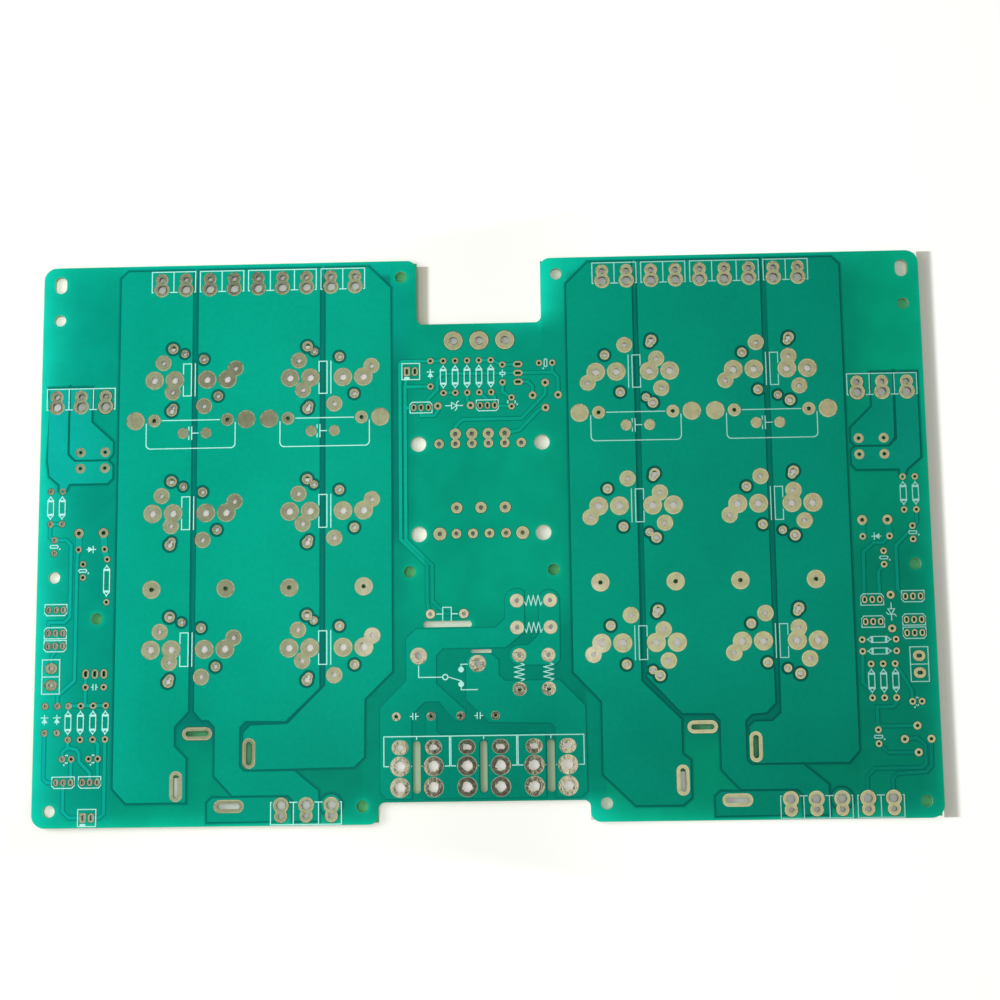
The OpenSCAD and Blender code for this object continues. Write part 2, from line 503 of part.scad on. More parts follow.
RIGHT_TRACKS = [
  [[-0.2, 3.45], [-2.2, 1.5], [-5, 1.5], [-8.3, -1.3], [-8.6, -15.8]],
  [[8.3, 11.5], [8.3, 7.6], [6.9, 6.5]],
  [[6.9, 6.5], [5.1, 4], [1.6, 0.5], [1.6, -12.8], [3.7, -15]],
  [[-2.2, -5.1], [-4, -7.3], [-4, -15.8]],
  [[-0.3, -45.4], [-0.3, -47], [-1.5, -48.1], [-6.2, -48.1], [-6.2, -55]],
  [[-6.2, -53.8], [5.5, -53.8]],
  [[-6.2, -59], [-3.4, -61.7], [5.5, -61.7]],
  [[9.4, -57.75], [9.2, -65.8], [7.6, -67.4], [-1, -67.9], [-2.5, -69.4], [-2.5, output_wire_y]],
  [[1.6, -57.75], [5.2, -57.4], [7.6, -59.4], [7.6, -65], [6.3, -66.2], [-7.6, -66.3], [-10.1, -68.6],
    [-10.1, output_wire_y]],
  [[-0.3, -35.2], [1.7, -38.4], [4.4, -43.4], [4.4, -46.6]],
  [[-9.8, -31.4], [-10.1, -40.8], [-8.4, -42.4], [-7.5, -45.4]]];
RIGHT_WIDE_TRACKS = [[[-8.3, 8.5], [-8.3, 3.45]], [[-0.6, 8.5], [-0.2, 3.45]]];
CENTRE_TRACKS = [
  [[-11.2, 60.7], [-23.9, 60.7], [-24.7, 59.9], [-24.7, 4.9], [-16.7, -3.1], [-16.7, -14.5], [-15.8, -18]],
  [[-15.2, 52.6], [-23.1, 52.6], [-23.1, 4.8], [-15.1, -3.2], [-15.1, -14.2], [-11.1, -18.15],
    [-5.6, -18.15]],
  [[-23.1, 52.6], [-22.5, 57.4]],
  [[-16, 46], [-16, 48.6], [-13.1, 51.5], [-13.1, 54.9], [-11.5, 56.5], [22.9, 56.4], [24.4, 54.8],
    [24.4, 49.2]],
  [[-18.2, 46], [-18.2, 43.4], [-14.1, 43.4], [-13, 44.8], [-13, 46.4]],
  [[12, 53.6], [15, 53.6], [16.5, 52], [16.5, 49.2]],
  [[7.2, 53.6], [7.2, 50.4], [9.9, 48.6]],
  [[20.4, 53.1], [20.4, 49.6], [12.9, 42], [-5.4, 42], [-7.6, 39.8], [-7.6, 37.5]],
  [[20.4, 45.2], [18.4, 44.6], [12.2, 38.3], [7.6, 37.5]],
  [[-3.8, 50.5], [-3.8, 48], [-2.8, 46.4]],
  [[0, 50.5], [2.4, 48.2], [2.4, 46.3]],
  [[3.6, 50.5], [4.7, 48.8], [4.7, 46.2], [9.9, 45.9]],
  [[-0.1, 60.6], [3.6, 60.6], [7.2, 59.1], [12, 59.1]],
  [[-11.2, 50.5], [-7.5, 50.5]],
  [[22.7, 59.4], [22.7, 56.4]],
  [[-23.1, 46], [-20.5, 46]]];

module on_board(z = 0) { translate([0, -mid_y, z]) children(); }

// A round or long shape around a middle point
module stadium(d, run, angle) {
  if (run == 0) circle(d = d);
  else rotate(angle) {
    for (s = [-1, 1]) translate([s * run / 2, 0]) circle(d = d);
    square([run, d], center = true);
  }
}

module land_shape(p, grow = 0) {
  d = p[2][0] + 2 * grow;
  translate([p.x, p.y])
    if (p[2][5]) rotate(p[2][4]) square([p[2][3] + d, d], center = true);
    else stadium(d, p[2][3], p[2][4]);
}

module hole_shape(p, grow = 0) {
  if (p[2][1] > 0) translate([p.x, p.y]) stadium(p[2][1] + 2 * grow, p[2][3], p[2][4]);
}

module land_openings(list) { for (p = list) land_shape(p, fit + p[2][2]); }

// One straight stretch of copper or ink
module strip(a, b, w) {
  run = b - a;
  translate((a + b) / 2) rotate(atan2(run.y, run.x)) square([norm(run), w], center = true);
}

// A track; its round joints stand a little proud of its straight edges
joint_swell = 0.04;
module track_run(points, w) {
  for (i = [0:len(points) - 2]) strip(points[i], points[i + 1], w);
  for (q = points) translate(q) circle(d = w + joint_swell);
}

module stroke(points) {
  for (i = [0:len(points) - 2]) {
    run = points[i + 1] - points[i];
    reach = run / norm(run) * ink_w / 2;
    strip(points[i] - reach, points[i + 1] + reach, ink_w);
  }
}

// A quarter of a printed ring, a little wider than the lines that it joins
module quarter(middle, r, turn) {
  half = (ink_w + joint_swell) / 2;
  translate(middle) rotate(turn) intersection() {
    difference() {
      circle(r = r + half);
      circle(r = r - half);
    }
    square(r + ink_w);
  }
}

module frame(x0, y0, x1, y1) {
  stroke([[x0, y0], [x1, y0]]);
  stroke([[x1, y0], [x1, y1]]);
  stroke([[x1, y1], [x0, y1]]);
  stroke([[x0, y1], [x0, y0]]);
}

// Notch cut from an edge at y = 0 that faces up, with its inner and outer corners rounded
module notch(w, d) {
  r = notch_fillet_r;
  m = notch_mouth_r;
  translate([-w / 2, r - d]) square([w, d - r + m]);
  translate([r - w / 2, -d]) square([w - 2 * r, r + m]);
  for (s = [-1, 1]) {
    translate([s * (w / 2 - r), r - d]) circle(r = r);
    difference() {
      translate([s * (w / 2 + m / 2), 0]) square([m, 2 * m], center = true);
      translate([s * (w / 2 + m), -m]) circle(r = m);
    }
  }
}

module outline() {
  difference() {
    union() {
      translate([-side_x, bottom_y + corner_r]) square([board_w, board_d - 2 * corner_r]);
      translate([corner_r - side_x, bottom_y]) square([board_w - 2 * corner_r, board_d]);
      for (x = [-1, 1], y = [bottom_y + corner_r, top_y - corner_r])
        translate([x * (side_x - corner_r), y]) circle(r = corner_r);
    }
    translate([0, top_y]) notch(top_notch_w, top_notch_d);
    translate([0, bottom_y]) rotate(180) notch(bottom_notch_w, bottom_notch_d);
  }
}

module input_slots() {
  for (x = [-1:1]) translate([x * 2 * input_pitch, input_slot_y])
    stadium(input_slot_w, input_slot_l - input_slot_w, 90);
}

// Holes and slots without plating
module bare_openings() {
  for (s = [-1, 1]) {
    for (place = [
      [fixing_x, -fixing_span_y / 2], [fixing_x, fixing_middle_y], [fixing_x, fixing_span_y / 2],
      [top_notch_w / 2 + top_inner_gap, top_y - top_inner_inset],
      [centre_span / 2, fixing_middle_y],
      [bottom_notch_w / 2 + bottom_inner_gap, bottom_y + bottom_inner_inset]
    ]) translate([s * place.x, place.y]) circle(d = fixing_hole_d);
    translate([s * fixing_x, top_y - corner_slot_inset])
      stadium(corner_slot_w, corner_slot_l - corner_slot_w, 90);
    for (y = [-1, 1]) translate([s * frame_span_x / 2, transformer_y + y * frame_span_y / 2])
      circle(d = frame_hole_d);
  }
  translate(strip_hole) circle(d = fixing_hole_d);
  input_slots();
  for (q = [coil_slot, contact_slot]) translate([q[0], q[1]]) stadium(q[3], q[2], 0);
}

module board() {
  color([0, 0.5, 0.4]) on_board() {
    linear_extrude(land_h) difference() {
      outline();
      bare_openings();
      for (p = concat(POWER, CONTROL)) if (p[2][1] > 0) land_shape(p, fit);
    }
    translate([0, 0, land_h]) linear_extrude(board_t - land_h) difference() {
      outline();
      bare_openings();
      for (p = concat(POWER, CONTROL)) hole_shape(p, plating + fit);
    }
  }
}

// Plated lands on both faces, joined by the plating in their holes
module plates(list) {
  difference() {
    union() for (p = list) land_shape(p);
    for (p = list) hole_shape(p);
  }
}

module lands(list) {
  drilled = [for (p = list) if (p[2][1] > 0) p];
  color([0.74, 0.7, 0.55]) on_board() {
    if (len(drilled) > 0) {
      linear_extrude(land_h) plates(drilled);
      translate([0, 0, land_h]) linear_extrude(board_t - land_h) difference() {
        union() for (p = drilled) hole_shape(p, plating);
        for (p = drilled) hole_shape(p);
      }
    }
    translate([0, 0, board_t]) linear_extrude(land_h) plates(list);
  }
}

// Coated copper on the upper face, open around the lands that lie on it
module copper(list) {
  color([0, 0.62, 0.5]) on_board(board_t) linear_extrude(copper_h) difference() {
    children();
    land_openings(list);
  }
}

module left_outer_pour() { copper(concat(TOP_LEFT, BUS_A, FILM, BALANCE, BUSBAR)) polygon(LEFT_OUTER); }
module left_middle_pour() {
  copper(concat(TOP_LEFT, BUS_A, BUS_B, FILM, BALANCE, BUSBAR, OUTPUTS)) polygon(LEFT_MIDDLE);
}
module left_inner_pour() { copper(concat(TOP_LEFT, BUS_B, FILM, BALANCE, BUSBAR)) polygon(LEFT_INNER); }
module right_inner_pour() { copper(concat(TOP_RIGHT, BUS_C, FILM, BALANCE, BUSBAR)) polygon(RIGHT_INNER); }
module right_middle_pour() {
  copper(concat(TOP_RIGHT, BUS_C, BUS_D, FILM, BALANCE, BUSBAR, OUTPUTS)) polygon(RIGHT_MIDDLE);
}
module right_outer_pour() { copper(concat(TOP_RIGHT, BUS_D, FILM, BALANCE, BUSBAR)) polygon(RIGHT_OUTER); }
module pour_shapes() {
  for (points = [LEFT_OUTER, LEFT_MIDDLE, LEFT_INNER, RIGHT_INNER, RIGHT_MIDDLE, RIGHT_OUTER])
    polygon(points);
}

module output_shapes() {
  for (x = output_x) {
    polygon(low(OUTPUT_ISLAND, x));
    translate([x + terminal_pitch, output_wire_y]) circle(d = terminal_wire[0] + 2 * output_ring_w);
  }
}
module output_copper() { copper(concat(OUTPUTS, BUSBAR)) output_shapes(); }

module sense_shapes(side, shapes) { for (points = shapes) polygon(moved(points, side * strip_x)); }
module left_sense_copper() { copper(concat(SIDES, COUPLER, RESISTOR)) sense_shapes(LEFT, LEFT_SENSE); }
module right_sense_copper() { copper(concat(SIDES, COUPLER, RESISTOR)) sense_shapes(RIGHT, RIGHT_SENSE); }

// The first round end is cut off at the gap to the link
module input_shapes() {
  for (points = [INPUT_LEFT, INPUT_MIDDLE, INPUT_RIGHT, INPUT_LINK]) polygon(points);
  difference() {
    for (q = ROUND_ENDS) translate([q.x, q.y]) circle(r = q[2]);
    translate([12.8, resistor_end_y - 4]) square([3, 8]);
  }
}
module input_copper() {
  copper(concat(INPUT, RELAY, POWER_RESISTOR, INPUT_CAP)) difference() {
    input_shapes();
    slot_margins();
  }
}

module left_track_shapes() {
  for (points = LEFT_TRACKS) track_run(moved(points, -strip_x), track_w);
  for (points = LEFT_WIDE_TRACKS) track_run(moved(points, -strip_x), wide_track_w);
}
module centre_track_shapes() { for (points = CENTRE_TRACKS) track_run(points, track_w); }
module right_track_shapes() {
  for (points = RIGHT_TRACKS) track_run(moved(points, strip_x), track_w);
  for (points = RIGHT_WIDE_TRACKS) track_run(moved(points, strip_x), wide_track_w);
}
module left_control_tracks() { copper(CONTROL) left_track_shapes(); }
module centre_control_tracks() { copper(concat(CONTROL, RELAY, TRANSFORMER)) centre_track_shapes(); }
module right_control_tracks() { copper(concat(CONTROL, AUXILIARY)) right_track_shapes(); }

module top_left_terminal_lands() { lands(TOP_LEFT); }
module top_right_terminal_lands() { lands(TOP_RIGHT); }
module side_terminal_lands() { lands(SIDES); }
module output_terminal_lands() { lands(OUTPUTS); }
module auxiliary_terminal_lands() { lands(AUXILIARY); }
module centre_terminal_lands() { lands(CENTRE); }
module input_terminal_lands() { lands(INPUT); }
module bus_lands_left_outer() { lands(BUS_A); }
module bus_lands_left_inner() { lands(BUS_B); }
module bus_lands_right_inner() { lands(BUS_C); }
module bus_lands_right_outer() { lands(BUS_D); }
module film_capacitor_lands() { lands(FILM); }
module balance_resistor_lands() { lands(BALANCE); }
module busbar_slot_lands() { lands(BUSBAR); }
module relay_lands() { lands(RELAY); }
module power_resistor_lands() { lands(POWER_RESISTOR); }
module input_capacitor_lands() { lands(INPUT_CAP); }
module transformer_lands() { lands(TRANSFORMER); }
module resistor_lands() { lands(RESISTOR); }
module diode_lands() { lands(DIODE); }
module zener_lands() { lands(ZENER); }
module rectifier_lands() { lands(RECTIFIER); }
module coupler_lands() { lands(COUPLER); }
module transistor_lands() { lands(TRANSISTOR); }
module regulator_lands() { lands(REGULATOR); }
module small_capacitor_lands() { lands(CAPACITOR); }
module trimmer_lands() { lands(TRIMMER); }
module plug_lands() { lands(PLUG); }
module header_lands() { lands(HEADER); }

// Print: it lies on the copper and, past the copper's edges, on the laminate.
// The first child is the print, the second the copper below it.
module print_on(list) {
  color("white") on_board(board_t) {
    linear_extrude(copper_h) difference() {
      children(0);
      children(1);
      print_margins(list);
    }
    translate([0, 0, copper_h]) linear_extrude(ink_h) difference() {
      children(0);
      print_margins(list);
    }
  }
}
module print_margins(list) { for (p = list) land_shape(p, ink_clear); }

// Frame around a block of terminals, with a divider between its ways
terminal_frame_back = 0.9;
terminal_frame_front = 5.7;
terminal_frame_gap = 0.75;
module terminal_frame(x, y, n, side) {
  half = n * terminal_pitch / 2 - terminal_frame_gap;
  back = y - side * terminal_frame_back;
  front = y + side * terminal_frame_front;
  frame(x - half, back, x + half, front);
  for (i = [1:n - 1]) {
    divider_x = x + (i - n / 2) * terminal_pitch;
    stroke([[divider_x, back], [divider_x, front]]);
  }
}

// First way of each block in a row of blocks
function ways_before(i) = i == 0 ? 0 : top_blocks[i - 1] + ways_before(i - 1);

module terminal_frames() {
  for (s = [-1, 1], i = [0:len(top_blocks) - 1]) {
    middle = ways_before(i) + top_blocks[i] / 2 - top_ways / 2;
    terminal_frame(s * top_terminal_x + middle * terminal_pitch, top_wire_y, top_blocks[i], 1);
  }
  for (x = side_terminal_x) terminal_frame(x, side_wire_y, side_ways, 1);
  for (x = output_x) terminal_frame(x, output_wire_y, output_ways, -1);
  terminal_frame(auxiliary_x, output_wire_y, auxiliary_ways, -1);
}

module terminal_legend() {
  print_on(concat(TOP_LEFT, TOP_RIGHT, SIDES, OUTPUTS, AUXILIARY)) {
    terminal_frames();
    union() {
      pour_shapes();
      output_shapes();
      sense_shapes(LEFT, LEFT_SENSE);
      sense_shapes(RIGHT, RIGHT_SENSE);
    }
  }
}

// Sign of an electrolytic capacitor: a box and a bar
module bus_mark() {
  half = 5.1;
  frame(-2.35, -half, 0.15, half);
  stroke([[1.35, -half], [1.35, half]]);
}

module bus_capacitor_legend() {
  print_on(concat(BUS_A, BUS_B, BUS_C, BUS_D)) {
    for (s = [-1, 1], x = [bus_outer_x, bus_inner_x], i = [0:bus_rows - 1])
      translate([s * x, bus_top_y - i * bus_row_pitch]) rotate(s > 0 ? 180 : 0) bus_mark();
    pour_shapes();
  }
}

// Outline of a film capacitor, open beside its leads, and the sign between its middle lands
module film_mark(x, gap_x) {
  half = 13.9;
  high = film_y - 1;
  low = film_y - 8.9;
  bend = 1.4;
  sign_shift = -1.3;
  for (s = [-1, 1]) {
    stroke([[x + s * half, high], [x + s * half, low + bend]]);
    quarter([x + s * (half - bend), low + bend], bend, s > 0 ? 270 : 180);
  }
  stroke([[x - half + bend, low], [x + half - bend, low]]);
  stroke(pair(x, film_y, film_lead_span));
  plate_sign(gap_x + sign_shift, film_y - film_middle_drop, 2.5, 1.95);
}

// Two plates with their leads
module plate_sign(x, y, reach, rise) {
  plate = 0.45;
  for (s = [-1, 1]) {
    stroke([[x + s * plate, y - rise], [x + s * plate, y + rise]]);
    stroke([[x + s * plate, y], [x + s * reach, y]]);
  }
}

module film_capacitor_legend() {
  print_on(FILM) {
    for (s = [-1, 1]) {
      film_mark(s * film_outer_x, s * gap_outer_x);
      film_mark(s * film_inner_x, s * gap_inner_x);
    }
    pour_shapes();
  }
}

// Zigzag between the leads of a power resistor
module zigzag() {
  peaks = 8;
  reach = 2.9;
  rise = 1.5;
  function height(i) = i == 0 || i == peaks ? 0 : (i % 2 == 0 ? rise : -rise);
  stroke([for (i = [0:peaks]) [reach * (2 * i / peaks - 1), height(i)]]);
}

module relay_mark() {
  stroke([[-19.5, -33.4], [-19.5, -37.3], [-12.2, -37.3]]);
  difference() {
    translate([-11.4, -37.3]) circle(r = 0.95);
    translate([-11.4, -37.3]) circle(r = 0.6);
  }
  stroke([[-10.4, -37.3], [-6.6, -38.5], [-6.6, -41.2], [-1.7, -41.2]]);
  stroke([[-6.6, -35.1], [-6.6, -33.5], [-4, -33.5]]);
  for (y = [-35.1, -39.5]) translate([-6.6, y]) circle(r = 0.85);
}

module input_frames() {
  half = input_pitch - 0.2;
  high = input_long_y + 3.3;
  low = input_round_y[0];
  for (x = [-1:1]) {
    frame(x * 2 * input_pitch - half, low, x * 2 * input_pitch + half, high);
    stroke([[x * 2 * input_pitch, high], [x * 2 * input_pitch, input_slot_y + input_slot_l / 2 + 0.2]]);
  }
}

module slot_margins() {
  for (x = [-1:1]) translate([x * 2 * input_pitch, input_slot_y])
    stadium(input_slot_w + 2 * ink_clear, input_slot_l - input_slot_w, 90);
}

module coil_mark() {
  stroke([[coil.x - 1.3, coil.y - 2], [coil.x - 1.3, coil.y + 2], [coil.x + 1.3, coil.y + 2],
    [coil.x + 1.3, coil.y - 2]]);
  for (s = [-1, 1]) stroke([[coil.x + s * 1.4, coil.y], [coil.x + s * 3.4, coil.y]]);
}

module input_marks() {
  input_frames();
  relay_mark();
  coil_mark();
  for (q = POWER_RESISTORS) translate([q.x, q.y]) rotate(q[2]) zigzag();
  for (q = INPUT_CAPS) plate_sign(q.x + 0.2, q.y, 1.15, 0.9);
}

module input_legend() {
  print_on(concat(INPUT, RELAY, POWER_RESISTOR, INPUT_CAP)) {
    difference() {
      input_marks();
      slot_margins();
    }
    input_shapes();
  }
}

// Sign of a resistor: a body with two end bands and pointed caps
module resistor_mark(body) {
  half = body / 2;
  rise = 0.9;
  band = 0.5;
  tip = half + 0.95;
  frame(-half, -rise, half, rise);
  for (s = [-1, 1]) {
    translate([s * (half - band / 2), 0]) square([band, 2 * rise], center = true);
    stroke([[s * half, -rise], [s * tip, -0.1], [s * tip, 0.1], [s * half, rise]]);
    stroke([[s * tip, 0], [s * (tip + 0.4), 0]]);
  }
}

module diode_mark() {
  polygon([[-1, -0.9], [-1, 0.9], [0.5, 0]]);
  stroke([[0.55, -1], [0.55, 1]]);
  stroke([[-1.4, 0], [1.3, 0]]);
}

// Sign of a lamp: a short body between its leads
module lamp_mark() {
  frame(-0.35, -0.75, 0.35, 0.75);
  for (s = [-1, 1]) stroke([[s * 0.35, 0], [s, 0]]);
}

module zener_mark() {
  stroke([[-0.8, -1], [-0.8, 1], [0.8, 0], [-0.8, -1]]);
  stroke([[0.3, -1.5], [0.8, -1], [0.8, 1], [1.4, 1.4]]);
  stroke([[-2.6, 0], [-0.8, 0]]);
  stroke([[0.8, 0], [2.6, 0]]);
}

module transistor_mark() {
  stroke([[-3.4, -1.7], [3.4, -1.7]]);
  stroke([[-3.4, -1.7], [-3.4, 0.9], [-2.7, 1.7], [2.7, 1.7], [3.4, 0.9], [3.4, -1.7]]);
}

module capacitor_mark() {
  half_w = 0.42;
  half_h = 1.2;
  cut = 0.25;
  stroke([[-half_w, cut - half_h], [cut - half_w, -half_h], [half_w - cut, -half_h], [half_w, cut - half_h],
    [half_w, half_h - cut], [half_w - cut, half_h], [cut - half_w, half_h], [-half_w, half_h - cut],
    [-half_w, cut - half_h]]);
  translate([-0.75, -1.75]) circle(d = 0.5);
}

// Frame of a plug, with a block below its first lead
module plug_mark() {
  half = 2.75;
  rise = 2.55;
  block = [1.7, 0.8];
  frame(-half, -rise, half, rise);
  translate([-plug_pitch / 2, block.y / 2 - rise]) square(block, center = true);
}

module control_marks() {
  for (q = RESISTORS) translate([q.x, q.y]) rotate(q[2]) resistor_mark(4.6);
  for (q = LONG_RESISTORS) translate([q.x, q.y]) rotate(q[2]) resistor_mark(7);
  for (q = DIODES) translate([q.x, q.y]) rotate(q[2]) diode_mark();
  for (q = LAMPS) translate([q.x, q.y]) rotate(q[2]) lamp_mark();
  for (q = ZENERS) translate([q.x, q.y]) rotate(q[2]) zener_mark();
  for (q = TRANSISTORS) translate([q.x, q.y]) rotate(q[2]) transistor_mark();
  for (q = concat(CAPACITORS, TINY_CAPACITORS)) translate([q.x, q.y]) rotate(q[2]) capacitor_mark();
  for (q = STRIP_CAPACITORS) plate_sign(q.x, q.y, 0.85, 0.8);
  for (q = PLUGS) translate([q.x, q.y]) plug_mark();
  for (q = HEADERS) {
    frame(q.x - 2.7, q.y - 5.2, q.x + 2.7, q.y + 5.2);
    stroke([[q.x - 2.7, q.y], [q.x + 2.7, q.y]]);
  }
}

module control_legend() {
  print_on(CONTROL) {
    control_marks();
    union() {
      left_track_shapes();
      centre_track_shapes();
      right_track_shapes();
    }
  }
}

board();
left_outer_pour();
left_middle_pour();
left_inner_pour();
right_inner_pour();
right_middle_pour();
right_outer_pour();
output_copper();
left_sense_copper();
right_sense_copper();
input_copper();
left_control_tracks();
centre_control_tracks();
right_control_tracks();
top_left_terminal_lands();
top_right_terminal_lands();
side_terminal_lands();
output_terminal_lands();
auxiliary_terminal_lands();
centre_terminal_lands();
input_terminal_lands();
bus_lands_left_outer();
bus_lands_left_inner();
bus_lands_right_inner();
bus_lands_right_outer();
film_capacitor_lands();
balance_resistor_lands();
busbar_slot_lands();
relay_lands();
power_resistor_lands();
input_capacitor_lands();
transformer_lands();
resistor_lands();
diode_lands();
zener_lands();
rectifier_lands();
coupler_lands();
transistor_lands();
regulator_lands();
small_capacitor_lands();
trimmer_lands();
plug_lands();
header_lands();
terminal_legend();
bus_capacitor_legend();
film_capacitor_legend();
input_legend();
control_legend();
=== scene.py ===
# %% [markdown]
# # A bare power supply board
# The board lies face up on a pale table. Nothing is soldered to it yet, so all that it shows is green
# coated copper, green laminate, bright tinned lands and white print. The solids come ready from the
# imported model. This lesson adds the soft edges of the coat, the finishes, the light and the camera.

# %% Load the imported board
import json
import math
import bmesh
import bpy
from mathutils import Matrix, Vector


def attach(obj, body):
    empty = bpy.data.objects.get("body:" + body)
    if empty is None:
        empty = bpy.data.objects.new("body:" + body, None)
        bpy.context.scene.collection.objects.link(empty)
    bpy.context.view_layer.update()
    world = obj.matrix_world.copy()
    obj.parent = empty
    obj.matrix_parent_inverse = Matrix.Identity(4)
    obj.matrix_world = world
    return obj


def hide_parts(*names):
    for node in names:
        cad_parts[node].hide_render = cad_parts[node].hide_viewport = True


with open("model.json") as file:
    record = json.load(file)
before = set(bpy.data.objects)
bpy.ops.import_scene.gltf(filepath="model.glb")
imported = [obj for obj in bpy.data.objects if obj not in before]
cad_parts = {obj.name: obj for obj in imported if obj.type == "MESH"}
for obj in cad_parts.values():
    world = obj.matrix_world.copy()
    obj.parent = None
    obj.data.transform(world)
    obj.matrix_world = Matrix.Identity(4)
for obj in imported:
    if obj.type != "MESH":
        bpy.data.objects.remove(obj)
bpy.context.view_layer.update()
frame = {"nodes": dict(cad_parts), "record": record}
nodes = frame["nodes"]

# %% [markdown]
# ## Sorting the solids
# Each solid has one of four finishes. The record names the finish of every node, so the lists come
# from there, and no name has to be typed twice. The other values are the laminate's upper face, half the
# board's width and depth, and the distances within which points merge or count as level.

# %% Sort the nodes by finish
finish_of = {row["node"]: row["material_slot"] for row in frame["record"]["subparts"]}
copper_nodes = [name for name in nodes if finish_of[name] == "copper_coat"]
land_nodes = [name for name in nodes if finish_of[name] == "tinned_land"]
print_nodes = [name for name in nodes if finish_of[name] == "print_ink"]
MM = 0.001
MERGE = 0.002 * MM
LEVEL = 0.005 * MM
face_z = 1.6 * MM
half_w, half_d = 137 * MM, 87 * MM
print(len(copper_nodes), "copper,", len(land_nodes), "land and", len(print_nodes), "print nodes")

# %% [markdown]
# ## Short words for shader nodes
# A material is a small network. These helpers keep each step of a network on one readable line: a sum,
# a soft step, a fade or a blend of two colours.

# %% Helpers for sums and blends
def plug(tree, item, socket):
    if isinstance(item, bpy.types.NodeSocket):
        tree.links.new(item, socket)
    else:
        socket.default_value = item


def sum_up(tree, operation, *items):
    node = tree.nodes.new("ShaderNodeMath")
    node.operation = operation
    for item, socket in zip(items, node.inputs):
        plug(tree, item, socket)
    return node.outputs[0]


def soft_step(tree, item, low, high, to_low=0.0, to_high=1.0):
    node = tree.nodes.new("ShaderNodeMapRange")
    node.interpolation_type = "SMOOTHSTEP"
    for name, value in (("From Min", low), ("From Max", high), ("To Min", to_low), ("To Max", to_high)):
        plug(tree, value, node.inputs[name])
    plug(tree, item, node.inputs["Value"])
    return node.outputs["Result"]


def fade(tree, distance, reach):
    kept = sum_up(tree, "DIVIDE", sum_up(tree, "MAXIMUM", distance, 0.0), reach)
    return sum_up(tree, "EXPONENT", sum_up(tree, "MULTIPLY", kept, -1.0))


def blend(tree, share, first, second, way="MIX"):
    node = tree.nodes.new("ShaderNodeMix")
    node.data_type = "RGBA"
    node.blend_type = way
    plug(tree, share, node.inputs["Factor"])
    plug(tree, first, node.inputs["A"])
    plug(tree, second, node.inputs["B"])
    return node.outputs["Result"]


def colour(red, green, blue):
    return (red, green, blue, 1.0)


print("sums and blends ready")

# %% [markdown]
# The patterns follow the object's own coordinates, or an attribute that a mesh carries.

# %% Helpers for patterns
def board_axes(tree, space="Object"):
    place = tree.nodes.new("ShaderNodeTexCoord")
    axes = tree.nodes.new("ShaderNodeSeparateXYZ")
    tree.links.new(place.outputs[space], axes.inputs[0])
    return axes.outputs["X"], axes.outputs["Y"], axes.outputs["Z"]


def grain(tree, size, detail=3.0, roughness=0.55):
    place = tree.nodes.new("ShaderNodeTexCoord")
    node = tree.nodes.new("ShaderNodeTexNoise")
    node.inputs["Scale"].default_value = 1.0 / size
    node.inputs["Detail"].default_value = detail
    node.inputs["Roughness"].default_value = roughness
    tree.links.new(place.outputs["Object"], node.inputs["Vector"])
    return node.outputs["Fac"]


def uneven(tree, size, low, high, detail=3.0):
    return soft_step(tree, grain(tree, size, detail), 0.3, 0.7, low, high)


def mark_of(tree, name):
    node = tree.nodes.new("ShaderNodeAttribute")
    node.attribute_name = name
    return node.outputs["Fac"]


def rough_up(tree, height, depth):
    node = tree.nodes.new("ShaderNodeBump")
    node.inputs["Distance"].default_value = depth
    node.inputs["Strength"].default_value = 1.0
    tree.links.new(height, node.inputs["Height"])
    return node.outputs["Normal"]


print("patterns ready")

# %% [markdown]
# Last come helpers that start a finish or a group of nodes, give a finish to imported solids, and turn a
# mesh that was built here into an object.

# %% Helpers for finishes and pieces
def new_finish(name):
    finish = bpy.data.materials.new(name)
    finish.use_nodes = True
    return finish, finish.node_tree, finish.node_tree.nodes["Principled BSDF"]


def new_group(name, kind, output):
    group = bpy.data.node_groups.new(name, "ShaderNodeTree")
    group.interface.new_socket(output, in_out="OUTPUT", socket_type=kind)
    end = group.nodes.new("NodeGroupOutput")
    return group, end.inputs[output]


def use_group(tree, group):
    node = tree.nodes.new("ShaderNodeGroup")
    node.node_tree = group
    return node.outputs[0]


def dress(names, finish):
    for name in names:
        nodes[name].data.materials.clear()
        nodes[name].data.materials.append(finish)


def new_piece(name, bm, finishes):
    mesh = bpy.data.meshes.new(name)
    bm.to_mesh(mesh)
    bm.free()
    for finish in finishes:
        mesh.materials.append(finish)
    piece = bpy.data.objects.new(name, mesh)
    bpy.context.scene.collection.objects.link(piece)
    return piece


print("finishes and pieces ready")

# %% [markdown]
# ## The laminate's tint
# Glass and epoxy let light through. Light that enters at a bare edge glows on inside the sheet and dies
# away after a few millimetres, and in narrow gaps between copper the sheet stays dark. A shader that
# scatters light could do this, but it is slow and noisy in so thin a sheet. A group of soft steps and
# fades, measured in the object's own coordinates, paints that glow and shade into the colour and also
# survives an export. The first part is the middle of the board, which gets lighter to the right; painted
# shade makes it darker at its left side and at the mains input.

# %% Laminate tint: the middle
laminate_tint, tint_end = new_group("laminate tint", "NodeSocketColor", "Color")
tree = laminate_tint
x, y = board_axes(tree)[:2]
x_out = sum_up(tree, "ABSOLUTE", x)
pour_out, pour_in = 0.1123, 0.0276
top_notch_x, top_notch_y = 0.0194, 0.0664
low_notch_x, low_notch_y = 0.0318, -0.0805
LAMINATE = colour(0.0, 0.345, 0.22)


def along_x(low, high, first, second):
    return blend(tree, soft_step(tree, x, low, high), first, second)


def along_y(low, high, first, second):
    return blend(tree, soft_step(tree, y, low, high), first, second)
